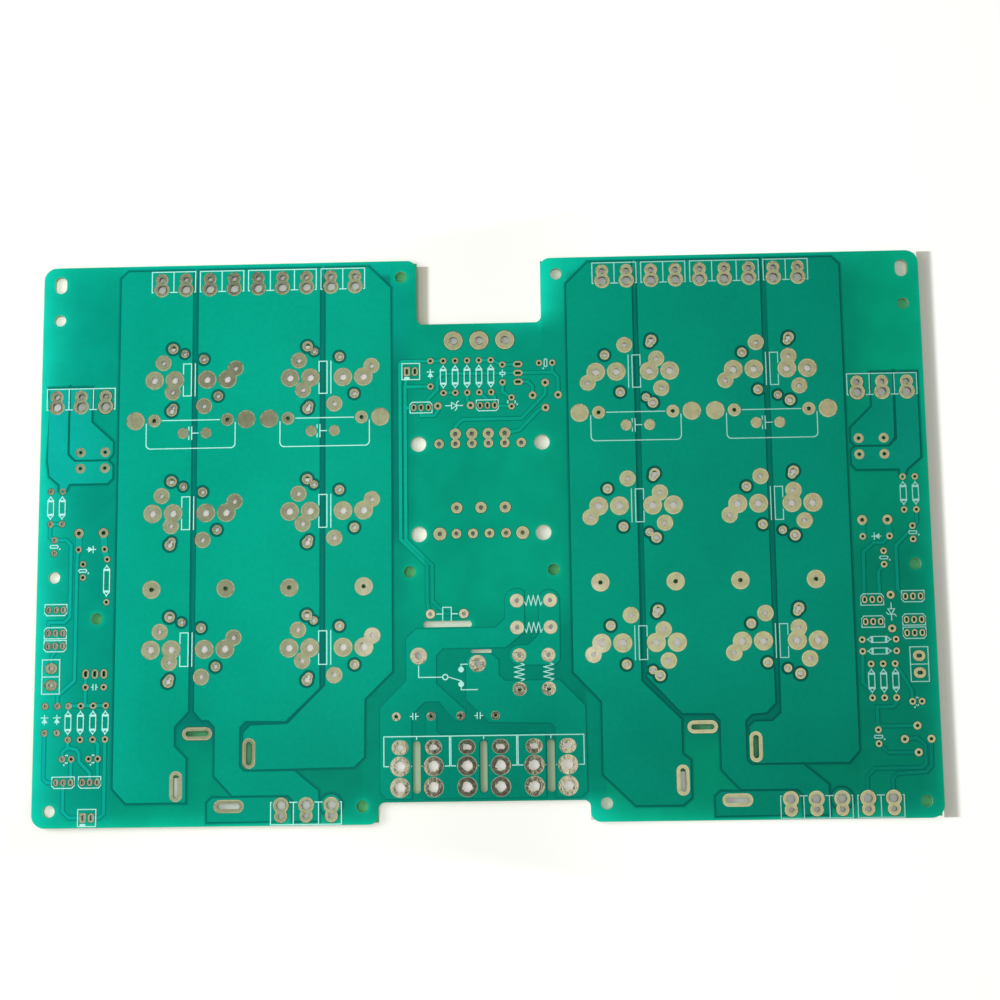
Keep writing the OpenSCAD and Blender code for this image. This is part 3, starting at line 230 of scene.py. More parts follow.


# Painted shade darkens the left side of the middle.
left_edge = along_y(-0.006, 0.002, colour(0.0, 0.305, 0.203), colour(0.0, 0.222, 0.165))
left_edge = along_y(0.050, 0.068, left_edge, colour(0.0, 0.337, 0.245))
half_lit = along_y(0.0, -0.012, LAMINATE, colour(0.0, 0.375, 0.232))
middle = along_x(-0.0262, -0.018, left_edge, half_lit)
right_half = along_y(0.026, 0.040, colour(0.0, 0.402, 0.25), colour(0.0, 0.362, 0.238))
middle = along_x(-0.006, 0.013, middle, right_half)
middle = along_x(0.0232, 0.0276, middle, colour(0.0, 0.36, 0.235))
# Painted shade: darker at the mains input.
mains_shade = along_y(-0.040, -0.053, colour(0.0, 0.285, 0.19), colour(0.0, 0.24, 0.162))
middle = along_y(-0.018, -0.034, middle, mains_shade)
beside = along_x(-0.02, 0.02, colour(0.0, 0.255, 0.167), colour(0.0, 0.302, 0.20))
wide_part = soft_step(tree, x_out, 0.0305, 0.0318)
wide_part = sum_up(tree, "MULTIPLY", wide_part, soft_step(tree, y, -0.036, -0.045))
middle = blend(tree, wide_part, middle, beside)
print("middle of the laminate's tint")

# %% [markdown]
# Between the power pours the gaps are narrow, and painted shade makes them dark. They widen towards the
# bottom edge and are light there, as is the strip along the top edge. The side strips carry little copper
# and are light too; painted shade darkens the lower part of the left strip.

# %% Laminate tint: gaps and strips
narrow_gap_shade = along_x(-0.06, 0.06, colour(0.0, 0.19, 0.148), colour(0.0, 0.235, 0.166))
open_left = along_x(-0.075, -0.055, colour(0.0, 0.29, 0.18), colour(0.0, 0.235, 0.152))
open_right = along_x(0.080, 0.095, colour(0.0, 0.365, 0.21), colour(0.0, 0.30, 0.183))
open_gap = along_x(-0.02, 0.02, open_left, open_right)
top_strip = along_x(-0.02, 0.02, colour(0.0, 0.37, 0.285), colour(0.0, 0.42, 0.31))
field = along_y(-0.054, -0.068, narrow_gap_shade, open_gap)
field = along_y(0.0815, 0.0835, field, top_strip)
field_edge = soft_step(tree, y, -0.040, -0.052, pour_in, 0.0368)
tint = blend(tree, sum_up(tree, "GREATER_THAN", x_out, field_edge), middle, field)

left_strip = along_y(0.018, 0.050, colour(0.0, 0.298, 0.212), colour(0.0, 0.328, 0.232))
tint = blend(tree, sum_up(tree, "LESS_THAN", x, -pour_out), tint, left_strip)
right_far = along_x(0.113, 0.127, colour(0.0, 0.385, 0.238), colour(0.0, 0.51, 0.29))
right_near = along_y(-0.012, 0.008, colour(0.0, 0.318, 0.20), colour(0.0, 0.395, 0.238))
right_strip = along_y(0.016, 0.050, right_near, right_far)
tint = blend(tree, sum_up(tree, "GREATER_THAN", x, pour_out), tint, right_strip)
print("gaps and strips of the laminate's tint")

# %% [markdown]
# The glow has one fade for each bare edge, one for each notch wall that faces the light, and one small
# ring for each bare hole.

# %% Glow at the edges and notches
def times(first, second):
    return sum_up(tree, "MULTIPLY", first, second)


def add_glow(tint, share, bright):
    return blend(tree, share, tint, bright)


GLOW = colour(0.003, 0.70, 0.44)
COOL_GLOW = colour(0.006, 0.70, 0.515)
WALL_GLOW = colour(0.006, 0.93, 0.65)
tint = add_glow(tint, fade(tree, sum_up(tree, "ADD", x, half_w), 0.0058), COOL_GLOW)
right_glow = fade(tree, sum_up(tree, "SUBTRACT", half_w, x), 0.0025)
tint = add_glow(tint, times(right_glow, 0.62), GLOW)
top_glow = fade(tree, sum_up(tree, "SUBTRACT", half_d, y), 0.005)
tint = add_glow(tint, times(top_glow, soft_step(tree, x, -0.03, 0.08, 0.32, 0.60)), GLOW)
low_glow = fade(tree, sum_up(tree, "ADD", y, half_d), 0.003)
tint = add_glow(tint, times(low_glow, soft_step(tree, x, -0.03, 0.03, 0.58, 0.90)), GLOW)

wall_x = sum_up(tree, "ABSOLUTE", sum_up(tree, "SUBTRACT", x, top_notch_x))
wall_reach = soft_step(tree, y, 0.064, 0.086, 0.0035, 0.0085)
wall_glow = times(fade(tree, wall_x, wall_reach), soft_step(tree, y, 0.0625, 0.0715, 0.0, 0.9))
tint = add_glow(tint, wall_glow, WALL_GLOW)
foot_glow = fade(tree, sum_up(tree, "ABSOLUTE", sum_up(tree, "SUBTRACT", top_notch_y, y)), 0.0022)
foot_side = soft_step(tree, x, -0.012, 0.012, 0.0, 0.3)
foot_side = times(foot_side, sum_up(tree, "LESS_THAN", x, top_notch_x))
tint = add_glow(tint, times(foot_glow, foot_side), WALL_GLOW)
low_wall = fade(tree, sum_up(tree, "ABSOLUTE", sum_up(tree, "SUBTRACT", x, low_notch_x)), 0.0065)
tint = add_glow(tint, times(low_wall, soft_step(tree, y, -0.077, -0.0865, 0.0, 0.95)), WALL_GLOW)
print("edges and notches glow")

# %% [markdown]
# Each bare hole lets in less light than an edge, so its ring is faint.

# %% Glow at the holes
bare_holes = [(sx * hx, hy, 1.8) for sx in (-1, 1) for hx, hy in (
    (131.7, -82.0), (131.7, -11.1), (131.7, 70.0), (22.0, -11.1), (24.3, 81.8), (36.7, -81.6))]
bare_holes += [(sx * 131.7, 81.4, 2.3) for sx in (-1, 1)]
bare_holes += [(sx * 19.1, 14.45 + sy * 14.05, 2.4) for sx in (-1, 1) for sy in (-1, 1)]
bare_holes += [(-118.3, -24.0, 1.8), (-4.2, -27.3, 1.0)]
rings = 0.0
for hole_x, hole_y, radius in bare_holes:
    away_x = sum_up(tree, "SUBTRACT", x, (hole_x + 0.35) * MM)
    away_y = sum_up(tree, "SUBTRACT", y, (hole_y + 0.1) * MM)
    away = sum_up(tree, "SQRT", sum_up(tree, "ADD", times(away_x, away_x), times(away_y, away_y)))
    ring = fade(tree, sum_up(tree, "SUBTRACT", away, radius * MM), 0.0008)
    rings = sum_up(tree, "MAXIMUM", rings, ring)
tint = add_glow(tint, times(rings, 0.3), GLOW)
mottle = uneven(tree, 0.009, 0.95, 1.05)
tree.links.new(blend(tree, 1.0, tint, mottle, "MULTIPLY"), tint_end)
print(len(bare_holes), "glowing holes,", len(tree.nodes), "nodes in the laminate's tint")

# %% [markdown]
# ## Laminate
# The faces of the sheet carry the glossy green coat. Its sawn edges are bare: they show yellowish glass
# cloth in thin layers. The normal tells the two apart, so one finish serves the whole sheet.

# %% Laminate finish
laminate, tree, skin = new_finish("green coated laminate")
facing = board_axes(tree, "Normal")[2]
height = board_axes(tree)[2]
CLOTH_LAYER = 0.2 * MM
upright = soft_step(tree, sum_up(tree, "ABSOLUTE", facing), 0.75, 0.45)
layers = sum_up(tree, "SINE", sum_up(tree, "MULTIPLY", height, 2 * math.pi / CLOTH_LAYER))
cloth = blend(tree, soft_step(tree, layers, -0.6, 0.6), colour(0.30, 0.50, 0.24), colour(0.48, 0.62, 0.33))
above = soft_step(tree, facing, -0.5, 0.5)
faces = blend(tree, above, LAMINATE, use_group(tree, laminate_tint))
tree.links.new(blend(tree, upright, faces, cloth), skin.inputs["Base Color"])
tree.links.new(uneven(tree, 0.004, 0.22, 0.32), skin.inputs["Roughness"])
skin.inputs["Specular IOR Level"].default_value = 0.04
tree.links.new(rough_up(tree, grain(tree, 0.0012), 0.00001), skin.inputs["Normal"])
dress(["board"], laminate)
print("laminate finished")

# %% [markdown]
# ## Coated copper
# On copper the coat looks lighter and more even than on bare laminate, because the metal throws the light
# back. Painted light from the cool window makes it pale and bluish at the left side, and painted shade
# makes it darker on the near side and most of all around the mains input. A group holds that tint,
# because the slopes at the copper's edges need it too.

# %% Coat tint as a group
coat_tint, tint_end = new_group("coat tint", "NodeSocketColor", "Color")
tree = coat_tint
x, y = board_axes(tree)[:2]
shown = along_x(-0.020, 0.035, colour(0.0, 0.368, 0.248), colour(0.0, 0.388, 0.257))
# Painted light: the cool window makes the left strip pale and bluish.
shown = along_x(-0.100, -0.137, shown, colour(0.003, 0.46, 0.385))
shown = along_x(0.112, 0.136, shown, colour(0.002, 0.41, 0.295))
track = times(soft_step(tree, x, -0.0276, -0.0272), soft_step(tree, x, -0.017, -0.018))
track = times(track, soft_step(tree, y, -0.022, -0.016))
inner = soft_step(tree, sum_up(tree, "ABSOLUTE", x), 0.0275, 0.0270)
upper_track = times(inner, soft_step(tree, y, 0.026, 0.030))
track = sum_up(tree, "MAXIMUM", track, times(upper_track, 0.6))
shown = blend(tree, track, shown, colour(0.002, 0.44, 0.305))
# Painted shade: darker on the near side, most of all around the mains input.
near_shade_or_pour = soft_step(tree, sum_up(tree, "ABSOLUTE", x), 0.010, 0.034, 0.27, 0.16)
near_shade_or_pour = times(near_shade_or_pour, soft_step(tree, y, -0.030, -0.068))
near_shade_or_pour = times(near_shade_or_pour, soft_step(tree, x, -0.112, -0.085))
shown = blend(tree, near_shade_or_pour, shown, colour(0.0, 0.0, 0.0))
cloudy = uneven(tree, 0.03, 0.96, 1.04, 2.0)
tree.links.new(blend(tree, 1.0, shown, cloudy, "MULTIPLY"), tint_end)
print(len(tree.nodes), "nodes in the coat's tint")

# %% [markdown]
# The finish itself is slightly wavy, and a little uneven in tone.

# %% Coated copper finish
coat, tree, skin = new_finish("green coat on copper")
fine = uneven(tree, 0.0015, 0.97, 1.03)
shown = blend(tree, 1.0, use_group(tree, coat_tint), fine, "MULTIPLY")
tree.links.new(shown, skin.inputs["Base Color"])
tree.links.new(uneven(tree, 0.005, 0.20, 0.30), skin.inputs["Roughness"])
skin.inputs["Specular IOR Level"].default_value = 0.04
tree.links.new(rough_up(tree, grain(tree, 0.002), 0.00002), skin.inputs["Normal"])
dress(copper_nodes, coat)
print(len(copper_nodes), "copper nodes coated")

# %% [markdown]
# ## Tinned lands
# Hot tin leaves a bright skin that is never quite flat: it pulls into small waves and shines most at the
# rims, where a highlight is painted. So the finish is a metal with little roughness, a wavy normal and
# warm, duller patches. Painted reflections make it brighter towards the near side, most of all around the
# relay and the mains input, warmer on the right and duller across the left half.

# %% Tin tint as a group
tin_tint, tint_end = new_group("tin tint", "NodeSocketColor", "Color")
tree = tin_tint
x, y = board_axes(tree)[:2]
# Painted reflections: warmer on the right and brighter towards the near side.
shown = along_x(-0.10, 0.03, colour(0.46, 0.48, 0.335), colour(0.55, 0.535, 0.345))
shown = along_x(0.05, 0.115, shown, colour(0.495, 0.465, 0.29))
shown = blend(tree, 1.0, shown, soft_step(tree, y, -0.05, 0.07, 1.10, 0.88), "MULTIPLY")
# Painted reflection: brighter around the relay and the mains input.
mains_reflection = soft_step(tree, sum_up(tree, "ABSOLUTE", x), 0.040, 0.034)
mains_reflection = times(mains_reflection, soft_step(tree, y, -0.010, -0.020))
shown = blend(tree, mains_reflection, shown, colour(1.36, 1.27, 1.52), "MULTIPLY")
# Painted reflection: duller in a band across the left half.
past = sum_up(tree, "DIVIDE", sum_up(tree, "ADD", x, 0.074), 0.021)
dull_reflection = sum_up(tree, "EXPONENT", sum_up(tree, "MULTIPLY", times(past, past), -1.0))
dull_reflection = times(dull_reflection, soft_step(tree, y, -0.075, 0.03, 0.28, 0.36))
shown = blend(tree, dull_reflection, shown, colour(0.0, 0.0, 0.0))
patches = soft_step(tree, grain(tree, 0.0024, 4.0, 0.65), 0.40, 0.66, 1.05, 0.88)
shown = blend(tree, 1.0, shown, patches, "MULTIPLY")
stains = soft_step(tree, grain(tree, 0.0006, 4.0, 0.7), 0.63, 0.74, 0.0, 0.7)
tree.links.new(blend(tree, stains, shown, colour(0.33, 0.26, 0.13)), tint_end)
print(len(tree.nodes), "nodes in the tin's tint")

# %% [markdown]
# Inside a hole the tin is painted dark, as shade, because it mirrors only its own walls. The wide holes
# of the capacitors and of the mains input get more light, those of the relay, power resistors and
# transformer a little more, so less of that painted shade. Attributes mark them, the rims with their
# painted highlight and the foot of the outer wall with its painted shade.

# %% Tinned finish
tinned, tree, skin = new_finish("tinned land")
z = board_axes(tree)[2]
metal = use_group(tree, tin_tint)
# Painted highlight at the rims.
metal = blend(tree, times(mark_of(tree, "rim"), 0.8), metal, colour(0.80, 0.84, 0.56))
# Painted shade darkens the foot of the outer wall.
shaded_foot = soft_step(tree, mark_of(tree, "foot"), 0.0, 0.5)
metal = blend(tree, shaded_foot, metal, colour(0.0, 0.16, 0.12))
# Painted shade deep in the holes, less of it where a hole gets more light.
painted_hole_shade = soft_step(tree, z, 0.9 * MM, 1.6 * MM)
kept = soft_step(tree, mark_of(tree, "wide"), 0.0, 1.0, 0.05, 0.55)
depth = sum_up(tree, "ADD", times(painted_hole_shade, sum_up(tree, "SUBTRACT", 1.0, kept)), kept)
tree.links.new(blend(tree, 1.0, metal, depth, "MULTIPLY"), skin.inputs["Base Color"])
skin.inputs["Metallic"].default_value = 1.0
dull = sum_up(tree, "ADD", uneven(tree, 0.001, 0.08, 0.15), times(shaded_foot, 0.5))
tree.links.new(dull, skin.inputs["Roughness"])
ripples = times(grain(tree, 0.0006, 2.0), 0.25)
waves = sum_up(tree, "ADD", grain(tree, 0.0022, 2.0), ripples)
tree.links.new(rough_up(tree, waves, 0.000045), skin.inputs["Normal"])
print("tin ready")

# %% [markdown]
# Melted tin also rounds off at the rims of a land and sinks at the edge of its hole. The solid has sharp
# edges, so a copy of it stands in: its upper face is inset twice, and the rims are lowered, those of the
# holes most. The lands of small leads are narrow rings, so their insets are narrow too. The foot of the
# outer wall is drawn outwards, because the coat laps up to it there, and painted shade darkens it to a
# thin dark line.

# %% Foot of a land
LAP = 0.16 * MM
WALL_DEPTH = 0.02 * MM


def spread_foot(bm, outer, top, layer):
    """Draws the lower verts of an outer wall outwards, so that the wall becomes a slope."""
    low = set()
    for vert in outer:
        for edge in vert.link_edges:
            other = edge.other_vert(vert)
            if other.co.z < top - WALL_DEPTH:
                low.add(other)
    moves = []
    for vert in low:
        sides = [face.normal for face in vert.link_faces if abs(face.normal.z) < 0.5]
        side = sum(sides, Vector())
        side.z = 0.0
        if side.length > 0.0:
            moves.append((vert, side.normalized()))
    for vert, side in moves:
        vert.co += side * LAP
        vert[layer] = 1.0


print("foot helper ready")

# %% [markdown]
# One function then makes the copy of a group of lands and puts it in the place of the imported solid.

# %% Tinned skins with soft rims
WIDE_LANDS = ("terminal", "bus", "film", "balance", "relay", "power", "transformer")
# How much more light, so how much less painted shade, the tin gets inside each kind of hole.
LIT_HOLES = {"bus_lands": 1.0, "input_terminal": 1.0, "relay": 0.5, "power": 0.5, "transformer": 0.3}
RIM_DROP = 0.015 * MM
SHOULDER_DROP = 0.003 * MM
HOLE_DEPTH = 0.3 * MM


def tin_skin(node):
    """A copy of a land with soft rims, which replaces it."""
    wide = any(word in node for word in WIDE_LANDS)
    first, second = (0.12, 0.22) if wide else (0.06, 0.10)
    mouth_drop = (0.07 if wide else 0.03) * MM
    bm = bmesh.new()
    bm.from_mesh(nodes[node].data)
    # The rim attribute marks where the tinned finish paints a highlight.
    rim_highlight = bm.verts.layers.float.new("rim")
    lit = bm.verts.layers.float.new("wide")
    foot = bm.verts.layers.float.new("foot")
    light = max([LIT_HOLES[word] for word in LIT_HOLES if word in node], default=0.0)
    for vert in bm.verts:
        vert[lit] = light
    bmesh.ops.remove_doubles(bm, verts=bm.verts, dist=MERGE)
    top = max(vert.co.z for vert in bm.verts)
    upper = [face for face in bm.faces if min(vert.co.z for vert in face.verts) > top - LEVEL]
    upper_set = set(upper)
    rim = {vert for face in upper for edge in face.edges
           if any(other not in upper_set for other in edge.link_faces) for vert in edge.verts}
    mouth = {vert for vert in rim
             if any(edge.other_vert(vert).co.z < top - HOLE_DEPTH for edge in vert.link_edges)}
    outer = rim - mouth
    bm.normal_update()
    spread_foot(bm, outer, top, foot)
    bmesh.ops.inset_region(bm, faces=upper, thickness=first * MM, use_even_offset=False)
    shoulder = {vert for face in upper for vert in face.verts}
    bmesh.ops.inset_region(bm, faces=upper, thickness=second * MM, use_even_offset=False)
    crown = {vert for face in upper for vert in face.verts}
    for vert in rim:
        vert.co.z = top - (mouth_drop if vert in mouth else RIM_DROP)
        vert[rim_highlight] = 0.0 if vert in mouth else 1.0
    for vert in shoulder - crown:
        vert.co.z = top - SHOULDER_DROP
        outside = any(edge.other_vert(vert) in outer for edge in vert.link_edges)
        vert[rim_highlight] = 1.0 if outside else 0.0
    piece = new_piece(node + "_tin", bm, [tinned])
    piece.data.polygons.foreach_set("use_smooth", [True] * len(piece.data.polygons))
    piece.data.set_sharp_from_angle(angle=math.radians(40))
    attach(piece, "root")
    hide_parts(node)
    return piece


for name in land_nodes:
    piece = tin_skin(name)
    print(piece.name, len(piece.data.polygons), "faces")

# %% [markdown]
# ## Printed legend
# The print is a matt white ink. It is thin, so a little of the green below shows through, and its
# surface is slightly grainy.

# %% Print finish
ink, tree, skin = new_finish("white print")
thin = soft_step(tree, grain(tree, 0.0006), 0.35, 0.75)
shown = blend(tree, thin, colour(0.58, 1.0, 0.95), colour(0.43, 0.93, 0.86))
tree.links.new(shown, skin.inputs["Base Color"])
skin.inputs["Roughness"].default_value = 0.6
skin.inputs["Specular IOR Level"].default_value = 0.2
tree.links.new(rough_up(tree, grain(tree, 0.0003), 0.00001), skin.inputs["Normal"])
dress(print_nodes, ink)
print(len(print_nodes), "print nodes inked")

# %% [markdown]
# ## Soft edges of the coat
# The coat runs down from the copper to the laminate in a soft slope, and the laminate beside it is
# shaded by the copper. A bevel on the copper would cut into it, so a thin bead is laid outside. It
# starts from the copper's own top face, and needs to know which way is outwards at each of its points.

# %% Outline of a top face
def outward_steps(bm):
    """Outward direction at each vertex of the open edges, lengthened at corners."""
    found = {}
    for edge in bm.edges:
        if edge.is_boundary:
            run = edge.verts[1].co - edge.verts[0].co
            side = Vector((run.y, -run.x, 0.0)).normalized()
            inside = edge.link_faces[0].calc_center_median() - edge.verts[0].co
            if side.dot(inside) > 0:
                side.negate()
            for vert in edge.verts:
                found.setdefault(vert, []).append(side)
    steps = {}
    for vert, sides in found.items():
        middle = sum(sides, Vector()) / len(sides)
        steps[vert] = middle / max(middle.length_squared, 0.3)
    return steps


def top_face(node):
    """The upper face of a node as a merged mesh."""
    bm = bmesh.new()
    bm.from_mesh(nodes[node].data)
    bmesh.ops.remove_doubles(bm, verts=bm.verts, dist=MERGE)
    top = max(vert.co.z for vert in bm.verts)
    rest = [face for face in bm.faces if min(vert.co.z for vert in face.verts) < top - LEVEL]
    bmesh.ops.delete(bm, geom=rest, context="FACES")
    return bm, top


print("outline helpers ready")

# %% [markdown]
# The open edges are extruded outwards and down, step by step, and back under themselves, so that each bead
# is a closed ring.

# %% Bead along an outline
def bead(name, source, profile, finishes):
    """A closed ring around each outline; profile rows are mm outwards, mm above the laminate and painted
    shade.
    """
    bm, top = top_face(source)
    copper_shade = bm.verts.layers.float.new("copper_shade")
    home = {vert: (vert.co.copy(), step) for vert, step in outward_steps(bm).items()}
    old_faces = list(bm.faces)
    edges = [edge for edge in bm.edges if edge.is_boundary]
    rows = profile + [(0.0, 0.0, 0.0), (0.0, (top - face_z) / MM, 0.0)]
    for number, (out, high, share) in enumerate(rows):
        made = bmesh.ops.extrude_edge_only(bm, edges=edges)["geom"]
        edges = [item for item in made if isinstance(item, bmesh.types.BMEdge)]
        for face in [item for item in made if isinstance(item, bmesh.types.BMFace)]:
            face.material_index = min(number, len(finishes) - 1)
        moved = {}
        for vert in [item for item in made if isinstance(item, bmesh.types.BMVert)]:
            ends = [edge.other_vert(vert) for edge in vert.link_edges]
            below = next(end for end in ends if end in home)
            moved[vert] = home[below]
            start, step = home[below]
            vert.co = start + step * out * MM
            vert.co.z = face_z + high * MM
            vert[copper_shade] = share
        home = moved
    bmesh.ops.delete(bm, geom=old_faces, context="FACES")
    bmesh.ops.remove_doubles(bm, verts=bm.verts, dist=MERGE)
    bmesh.ops.recalc_face_normals(bm, faces=bm.faces)
    piece = new_piece(name, bm, finishes)
    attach(piece, "root")
    return piece


print("bead helper ready")

# %% [markdown]
# The bead has two finishes. The slope is coat that painted shade darkens towards its foot. The foot lies on
# the laminate and takes its tint from the same group, darkened near the copper by painted shade, so it
# ends without a line.

# %% Finishes of the bead
FOOT_SHADE = colour(0.0, 0.135, 0.108)
slope, tree, skin = new_finish("green coat on a slope")
lit = use_group(tree, coat_tint)
tree.links.new(blend(tree, mark_of(tree, "copper_shade"), lit, FOOT_SHADE), skin.inputs["Base Color"])
skin.inputs["Roughness"].default_value = 0.3
skin.inputs["Specular IOR Level"].default_value = 0.1

foot, tree, skin = new_finish("green laminate beside copper")
base = use_group(tree, laminate_tint)
tree.links.new(blend(tree, mark_of(tree, "copper_shade"), base, FOOT_SHADE), skin.inputs["Base Color"])
skin.inputs["Roughness"].default_value = 0.36
skin.inputs["Specular IOR Level"].default_value = 0.04

POUR_BEAD = [(0.12, 0.012, 0.95), (0.50, 0.004, 0.75), (1.10, 0.001, 0.0)]
TRACK_BEAD = [(0.10, 0.012, 0.75), (0.45, 0.001, 0.0)]
for name in copper_nodes:
    near_shade_or_pour = "track" not in name and name != "input_copper"
    profile = POUR_BEAD if near_shade_or_pour else TRACK_BEAD
    piece = bead(name + "_edge", name, profile, [slope, foot])
    print(piece.name, len(piece.data.polygons), "faces")

# %% [markdown]
# ## Table and light
# The table is plain and pale. Far from the lamps it adds a little light of its own where a camera or a
# mirror sees it, so that it reads as white all over.

# %% Table
bm = bmesh.new()
bmesh.ops.create_grid(bm, x_segments=1, y_segments=1, size=3.0)
bmesh.ops.translate(bm, verts=bm.verts, vec=(0.0, 0.0, -0.1 * MM))
pale, tree, skin = new_finish("pale table")
skin.inputs["Roughness"].default_value = 0.8
skin.inputs["Specular IOR Level"].default_value = 0.1
table = new_piece("table", bm, [pale])
print("table laid")

# %% [markdown]
# The glow of the table is a product of three masks: rays that see it, places outside the board's
# outline, and the distance from the board. A band of shade is drawn on its lee side and in the lee of the
# top notch, because soft lamps alone leave it too faint. Below the board the table is painted dark and
# green, as if lit only through the laminate. Wide holes let in more light, so below the capacitors, the
# transformer, the relay, the mains input and the wire terminals it is painted paler and glows a little.

# %% Glow of the table
x, y = board_axes(tree)[:2]
x_out = sum_up(tree, "ABSOLUTE", x)
y_out = sum_up(tree, "ABSOLUTE", y)


def under(value, limit):
    return sum_up(tree, "LESS_THAN", value, limit)


def over(value, limit):
    return sum_up(tree, "GREATER_THAN", value, limit)


def opposite(mask):
    return sum_up(tree, "SUBTRACT", 1.0, mask)


def near_to(item, place, reach):
    return under(sum_up(tree, "ABSOLUTE", sum_up(tree, "SUBTRACT", item, place)), reach)


def any_of(*masks):
    found = masks[0]
    for mask in masks[1:]:
        found = sum_up(tree, "MAXIMUM", found, mask)
    return found


covered = times(under(x_out, half_w - 0.5 * MM), under(y_out, half_d - 0.5 * MM))
top_gap = times(under(x_out, top_notch_x), over(y, top_notch_y))
low_gap = times(under(x_out, low_notch_x + 0.05 * MM), under(y, low_notch_y))
open_part = any_of(opposite(covered), top_gap, low_gap)
closed = opposite(open_part)
print("open and covered parts of the table")

# %% [markdown]
# Each patch of painted light below the board is a box of two ranges, named for the part whose leads go
# through the holes.

# %% Patches of the table below the holes
rows = any_of(near_to(y, 0.0502, 0.0105), near_to(y, 0.0082, 0.0105), near_to(y, -0.0338, 0.0105))
capacitors = times(near_to(x_out, 0.0705, 0.0390), rows)
post_rows = any_of(near_to(y, 0.0285, 0.004), near_to(y, 0.0004, 0.004))
posts = times(near_to(x_out, 0.0191, 0.004), post_rows)
slots = any_of(under(x_out, 0.0026), near_to(x_out, 0.0209, 0.0026))
mains_holes = times(under(x_out, 0.031), near_to(y, -0.0675, 0.011))
mains_holes = times(mains_holes, opposite(slots))
pale_part = any_of(capacitors, mains_holes, under(x, -0.126))
top_row = times(near_to(x_out, 0.071, 0.040), over(y, 0.0715))
side_rows = times(over(x_out, 0.114), near_to(y, 0.0455, 0.008))
low_row = times(near_to(x_out, 0.085, 0.044), under(y, -0.0725))
contacts = times(under(x_out, 0.011), near_to(y, 0.0608, 0.004))
windings = times(under(x_out, 0.0165), near_to(y, 0.0155, 0.019))
relay_zone = times(under(x_out, 0.024), near_to(y, -0.030, 0.017))
mains_slots = times(slots, near_to(y, -0.0675, 0.012))
right_corner = times(over(x, 0.126), over(y, 0.0))
far_holes = times(over(y_out, 0.078), any_of(near_to(x, 0.0305, 0.010), right_corner))
terminals = any_of(top_row, side_rows, low_row, contacts, relay_zone, far_holes)
dim_part = any_of(windings, mains_slots)
# Painted light and shade: dark green below the board, paler patches below the wide holes.
below = along_x(0.0, 0.12, colour(0.12, 0.50, 0.22), colour(0.17, 0.72, 0.39))
below = blend(tree, dim_part, below, colour(0.46, 0.60, 0.42))
below = blend(tree, terminals, below, colour(0.62, 0.72, 0.60))
below = blend(tree, any_of(pale_part, posts), below, colour(0.92, 0.92, 0.87))
under_board = blend(tree, closed, colour(0.90, 0.89, 0.85), below)
print("patches below the board")

# %% [markdown]
# Last come the shade and the strength of the glow. Only rays that see the table take the glow, so it lights
# nothing else.

# %% Shade and strength of the glow
past_end = soft_step(tree, sum_up(tree, "SUBTRACT", x_out, half_w), 0.0, 0.03)
past_side = soft_step(tree, sum_up(tree, "SUBTRACT", y_out, half_d), 0.0, 0.03)
right_half = soft_step(tree, x, -0.04, 0.10)
afar = any_of(past_end, past_side, right_half)
afar = soft_step(tree, afar, 0.0, 1.0, 0.20, 0.55)
lee = times(over(x, half_w), under(y_out, half_d))
lee = times(lee, soft_step(tree, x, half_w + 0.0055, half_w + 0.0035))
notch_lee = times(times(top_gap, under(y, half_d - 0.0015)), soft_step(tree, x, -0.0150, -0.0165))
shadow = any_of(lee, notch_lee)
depth = any_of(times(shadow, 0.25), times(notch_lee, 0.6))
shaded = blend(tree, depth, under_board, colour(0.30, 0.31, 0.17))
tree.links.new(shaded, skin.inputs["Base Color"])
afar = times(afar, opposite(times(shadow, 0.8)))
ray = tree.nodes.new("ShaderNodeLightPath")
seen = sum_up(tree, "ADD", ray.outputs["Is Camera Ray"], ray.outputs["Is Glossy Ray"])
seen = sum_up(tree, "MINIMUM", sum_up(tree, "ADD", seen, ray.outputs["Is Transmission Ray"]), 1.0)
skin.inputs["Emission Color"].default_value = colour(1.0, 1.0, 1.0)
# Painted light: the table glows a little below the wide holes.
hole_glow = any_of(times(pale_part, 0.30), times(terminals, 0.18), times(posts, 0.12))
hole_glow = times(closed, any_of(hole_glow, times(dim_part, 0.06)))
glow = any_of(times(open_part, afar), hole_glow)
tree.links.new(times(seen, glow), skin.inputs["Emission Strength"])
print("table glows beside the board")

# %% [markdown]
# A low cool window on the left gives the main light: it draws the slopes of the coat, and it fades from
# left to right. A strip above the left half adds to it. Mirrors see neither of them, or the tin would turn
# white from some sides. A large ceiling hangs above for the tin to mirror, and the rest is even light from
# all round.

# %% Lamps
def soft_lamp(name, place, aim, size, power, tint):
    data = bpy.data.lights.new(name, "AREA")
    data.shape = "RECTANGLE"
    data.size, data.size_y = size
    data.energy = power
    data.color = tint
    lamp = bpy.data.objects.new(name, data)
    lamp.location = place
    lamp.rotation_euler = (Vector(aim) - Vector(place)).to_track_quat("-Z", "Y").to_euler()
    bpy.context.scene.collection.objects.link(lamp)
    return lamp


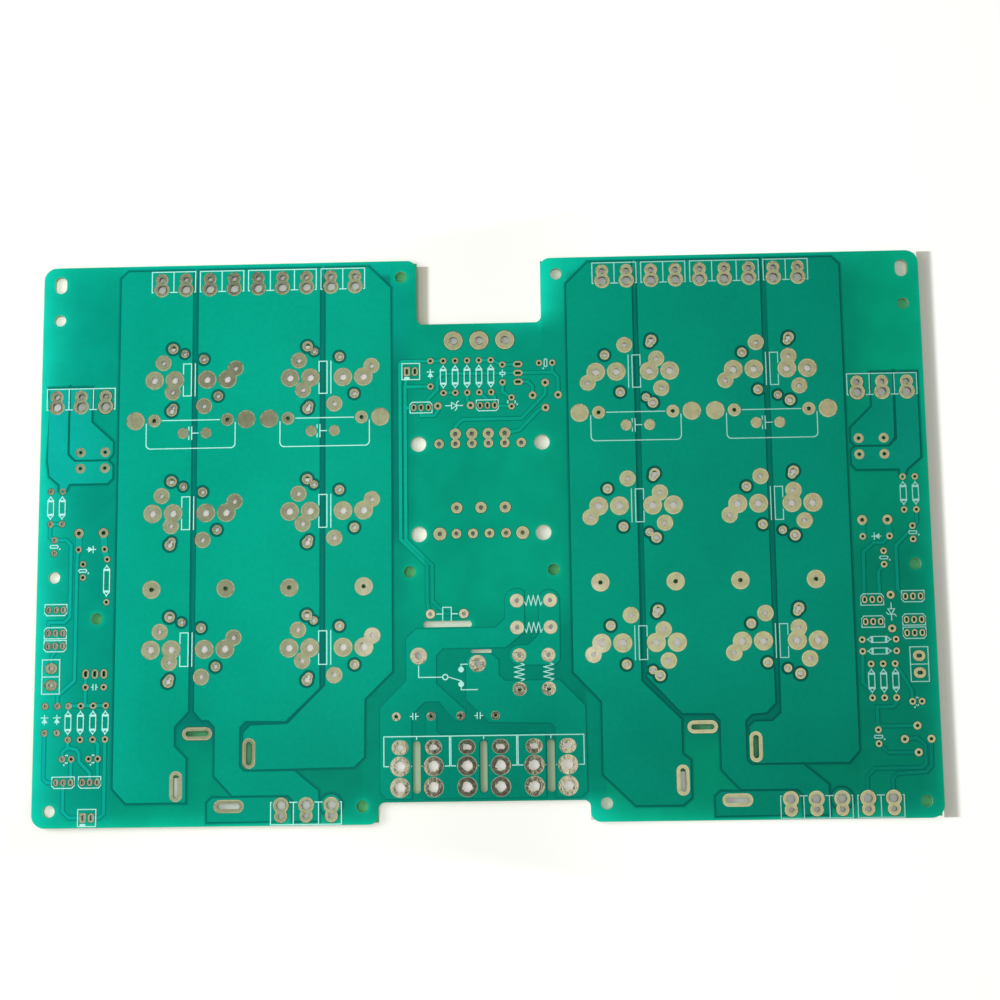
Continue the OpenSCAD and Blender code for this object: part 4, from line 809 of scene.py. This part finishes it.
window = soft_lamp("window", (-0.50, 0.06, 0.28), (0.0, 0.0, 0.0), (0.30, 0.30), 1.9, (0.93, 0.98, 1.0))
strip = soft_lamp("strip", (-0.055, 0.02, 0.10), (-0.055, 0.02, 0.0), (0.04, 0.50), 0.107, (1.0, 1.0, 0.98))
for lamp in (window, strip):
    lamp.visible_camera = False
    lamp.visible_glossy = False
soft_lamp("ceiling", (0.02, -0.06, 1.25), (0.02, -0.06, 0.0), (1.1, 1.1), 2.0, (0.97, 1.0, 0.83))
world = bpy.data.worlds.new("room")
bpy.context.scene.world = world
world.use_nodes = True
room = world.node_tree.nodes["Background"]
room.inputs["Color"].default_value = colour(1.0, 0.99, 0.96)
room.inputs["Strength"].default_value = 0.28
print("three lamps and a dim room")

# %% [markdown]
# An even ceiling makes every land look the same. A dark flat slab that hangs above the board breaks it
# up in the tin's mirror, and a faint light of its own keeps the tin from turning black. It is there for
# mirrors only, so it neither shades the board nor shows in a picture.

# %% Dark slab above the camera
bm = bmesh.new()
bmesh.ops.create_grid(bm, x_segments=1, y_segments=1, size=0.5)
bmesh.ops.scale(bm, verts=bm.verts, vec=(0.088, 0.152, 1.0))
bmesh.ops.translate(bm, verts=bm.verts, vec=(-0.0205, -0.099, 0.515))
black, tree, skin = new_finish("dark slab")
skin.inputs["Base Color"].default_value = colour(0.01, 0.01, 0.01)
skin.inputs["Emission Color"].default_value = colour(0.9, 1.0, 1.0)
skin.inputs["Emission Strength"].default_value = 0.08
skin.inputs["Specular IOR Level"].default_value = 0.0
slab = new_piece("slab", bm, [black])
slab.visible_camera = False
slab.visible_diffuse = False
slab.visible_shadow = False
slab.visible_transmission = False
print("slab hung")

# %% [markdown]
# ## Camera
# The photograph looks almost straight down from half a metre. The place and the turn were fitted to the
# board's holes.

# %% Camera
camera = bpy.data.objects.new("camera", bpy.data.cameras.new("camera"))
camera.data.sensor_width = 36.0
camera.data.lens = 59.84
camera.location = (0.0202, -0.0608, 0.5073)
camera.rotation_euler = tuple(math.radians(turn) for turn in (8.012, 1.729, -0.781))
bpy.context.scene.collection.objects.link(camera)
bpy.context.scene.camera = camera
bpy.context.scene.view_settings.view_transform = "Standard"
print("camera placed")
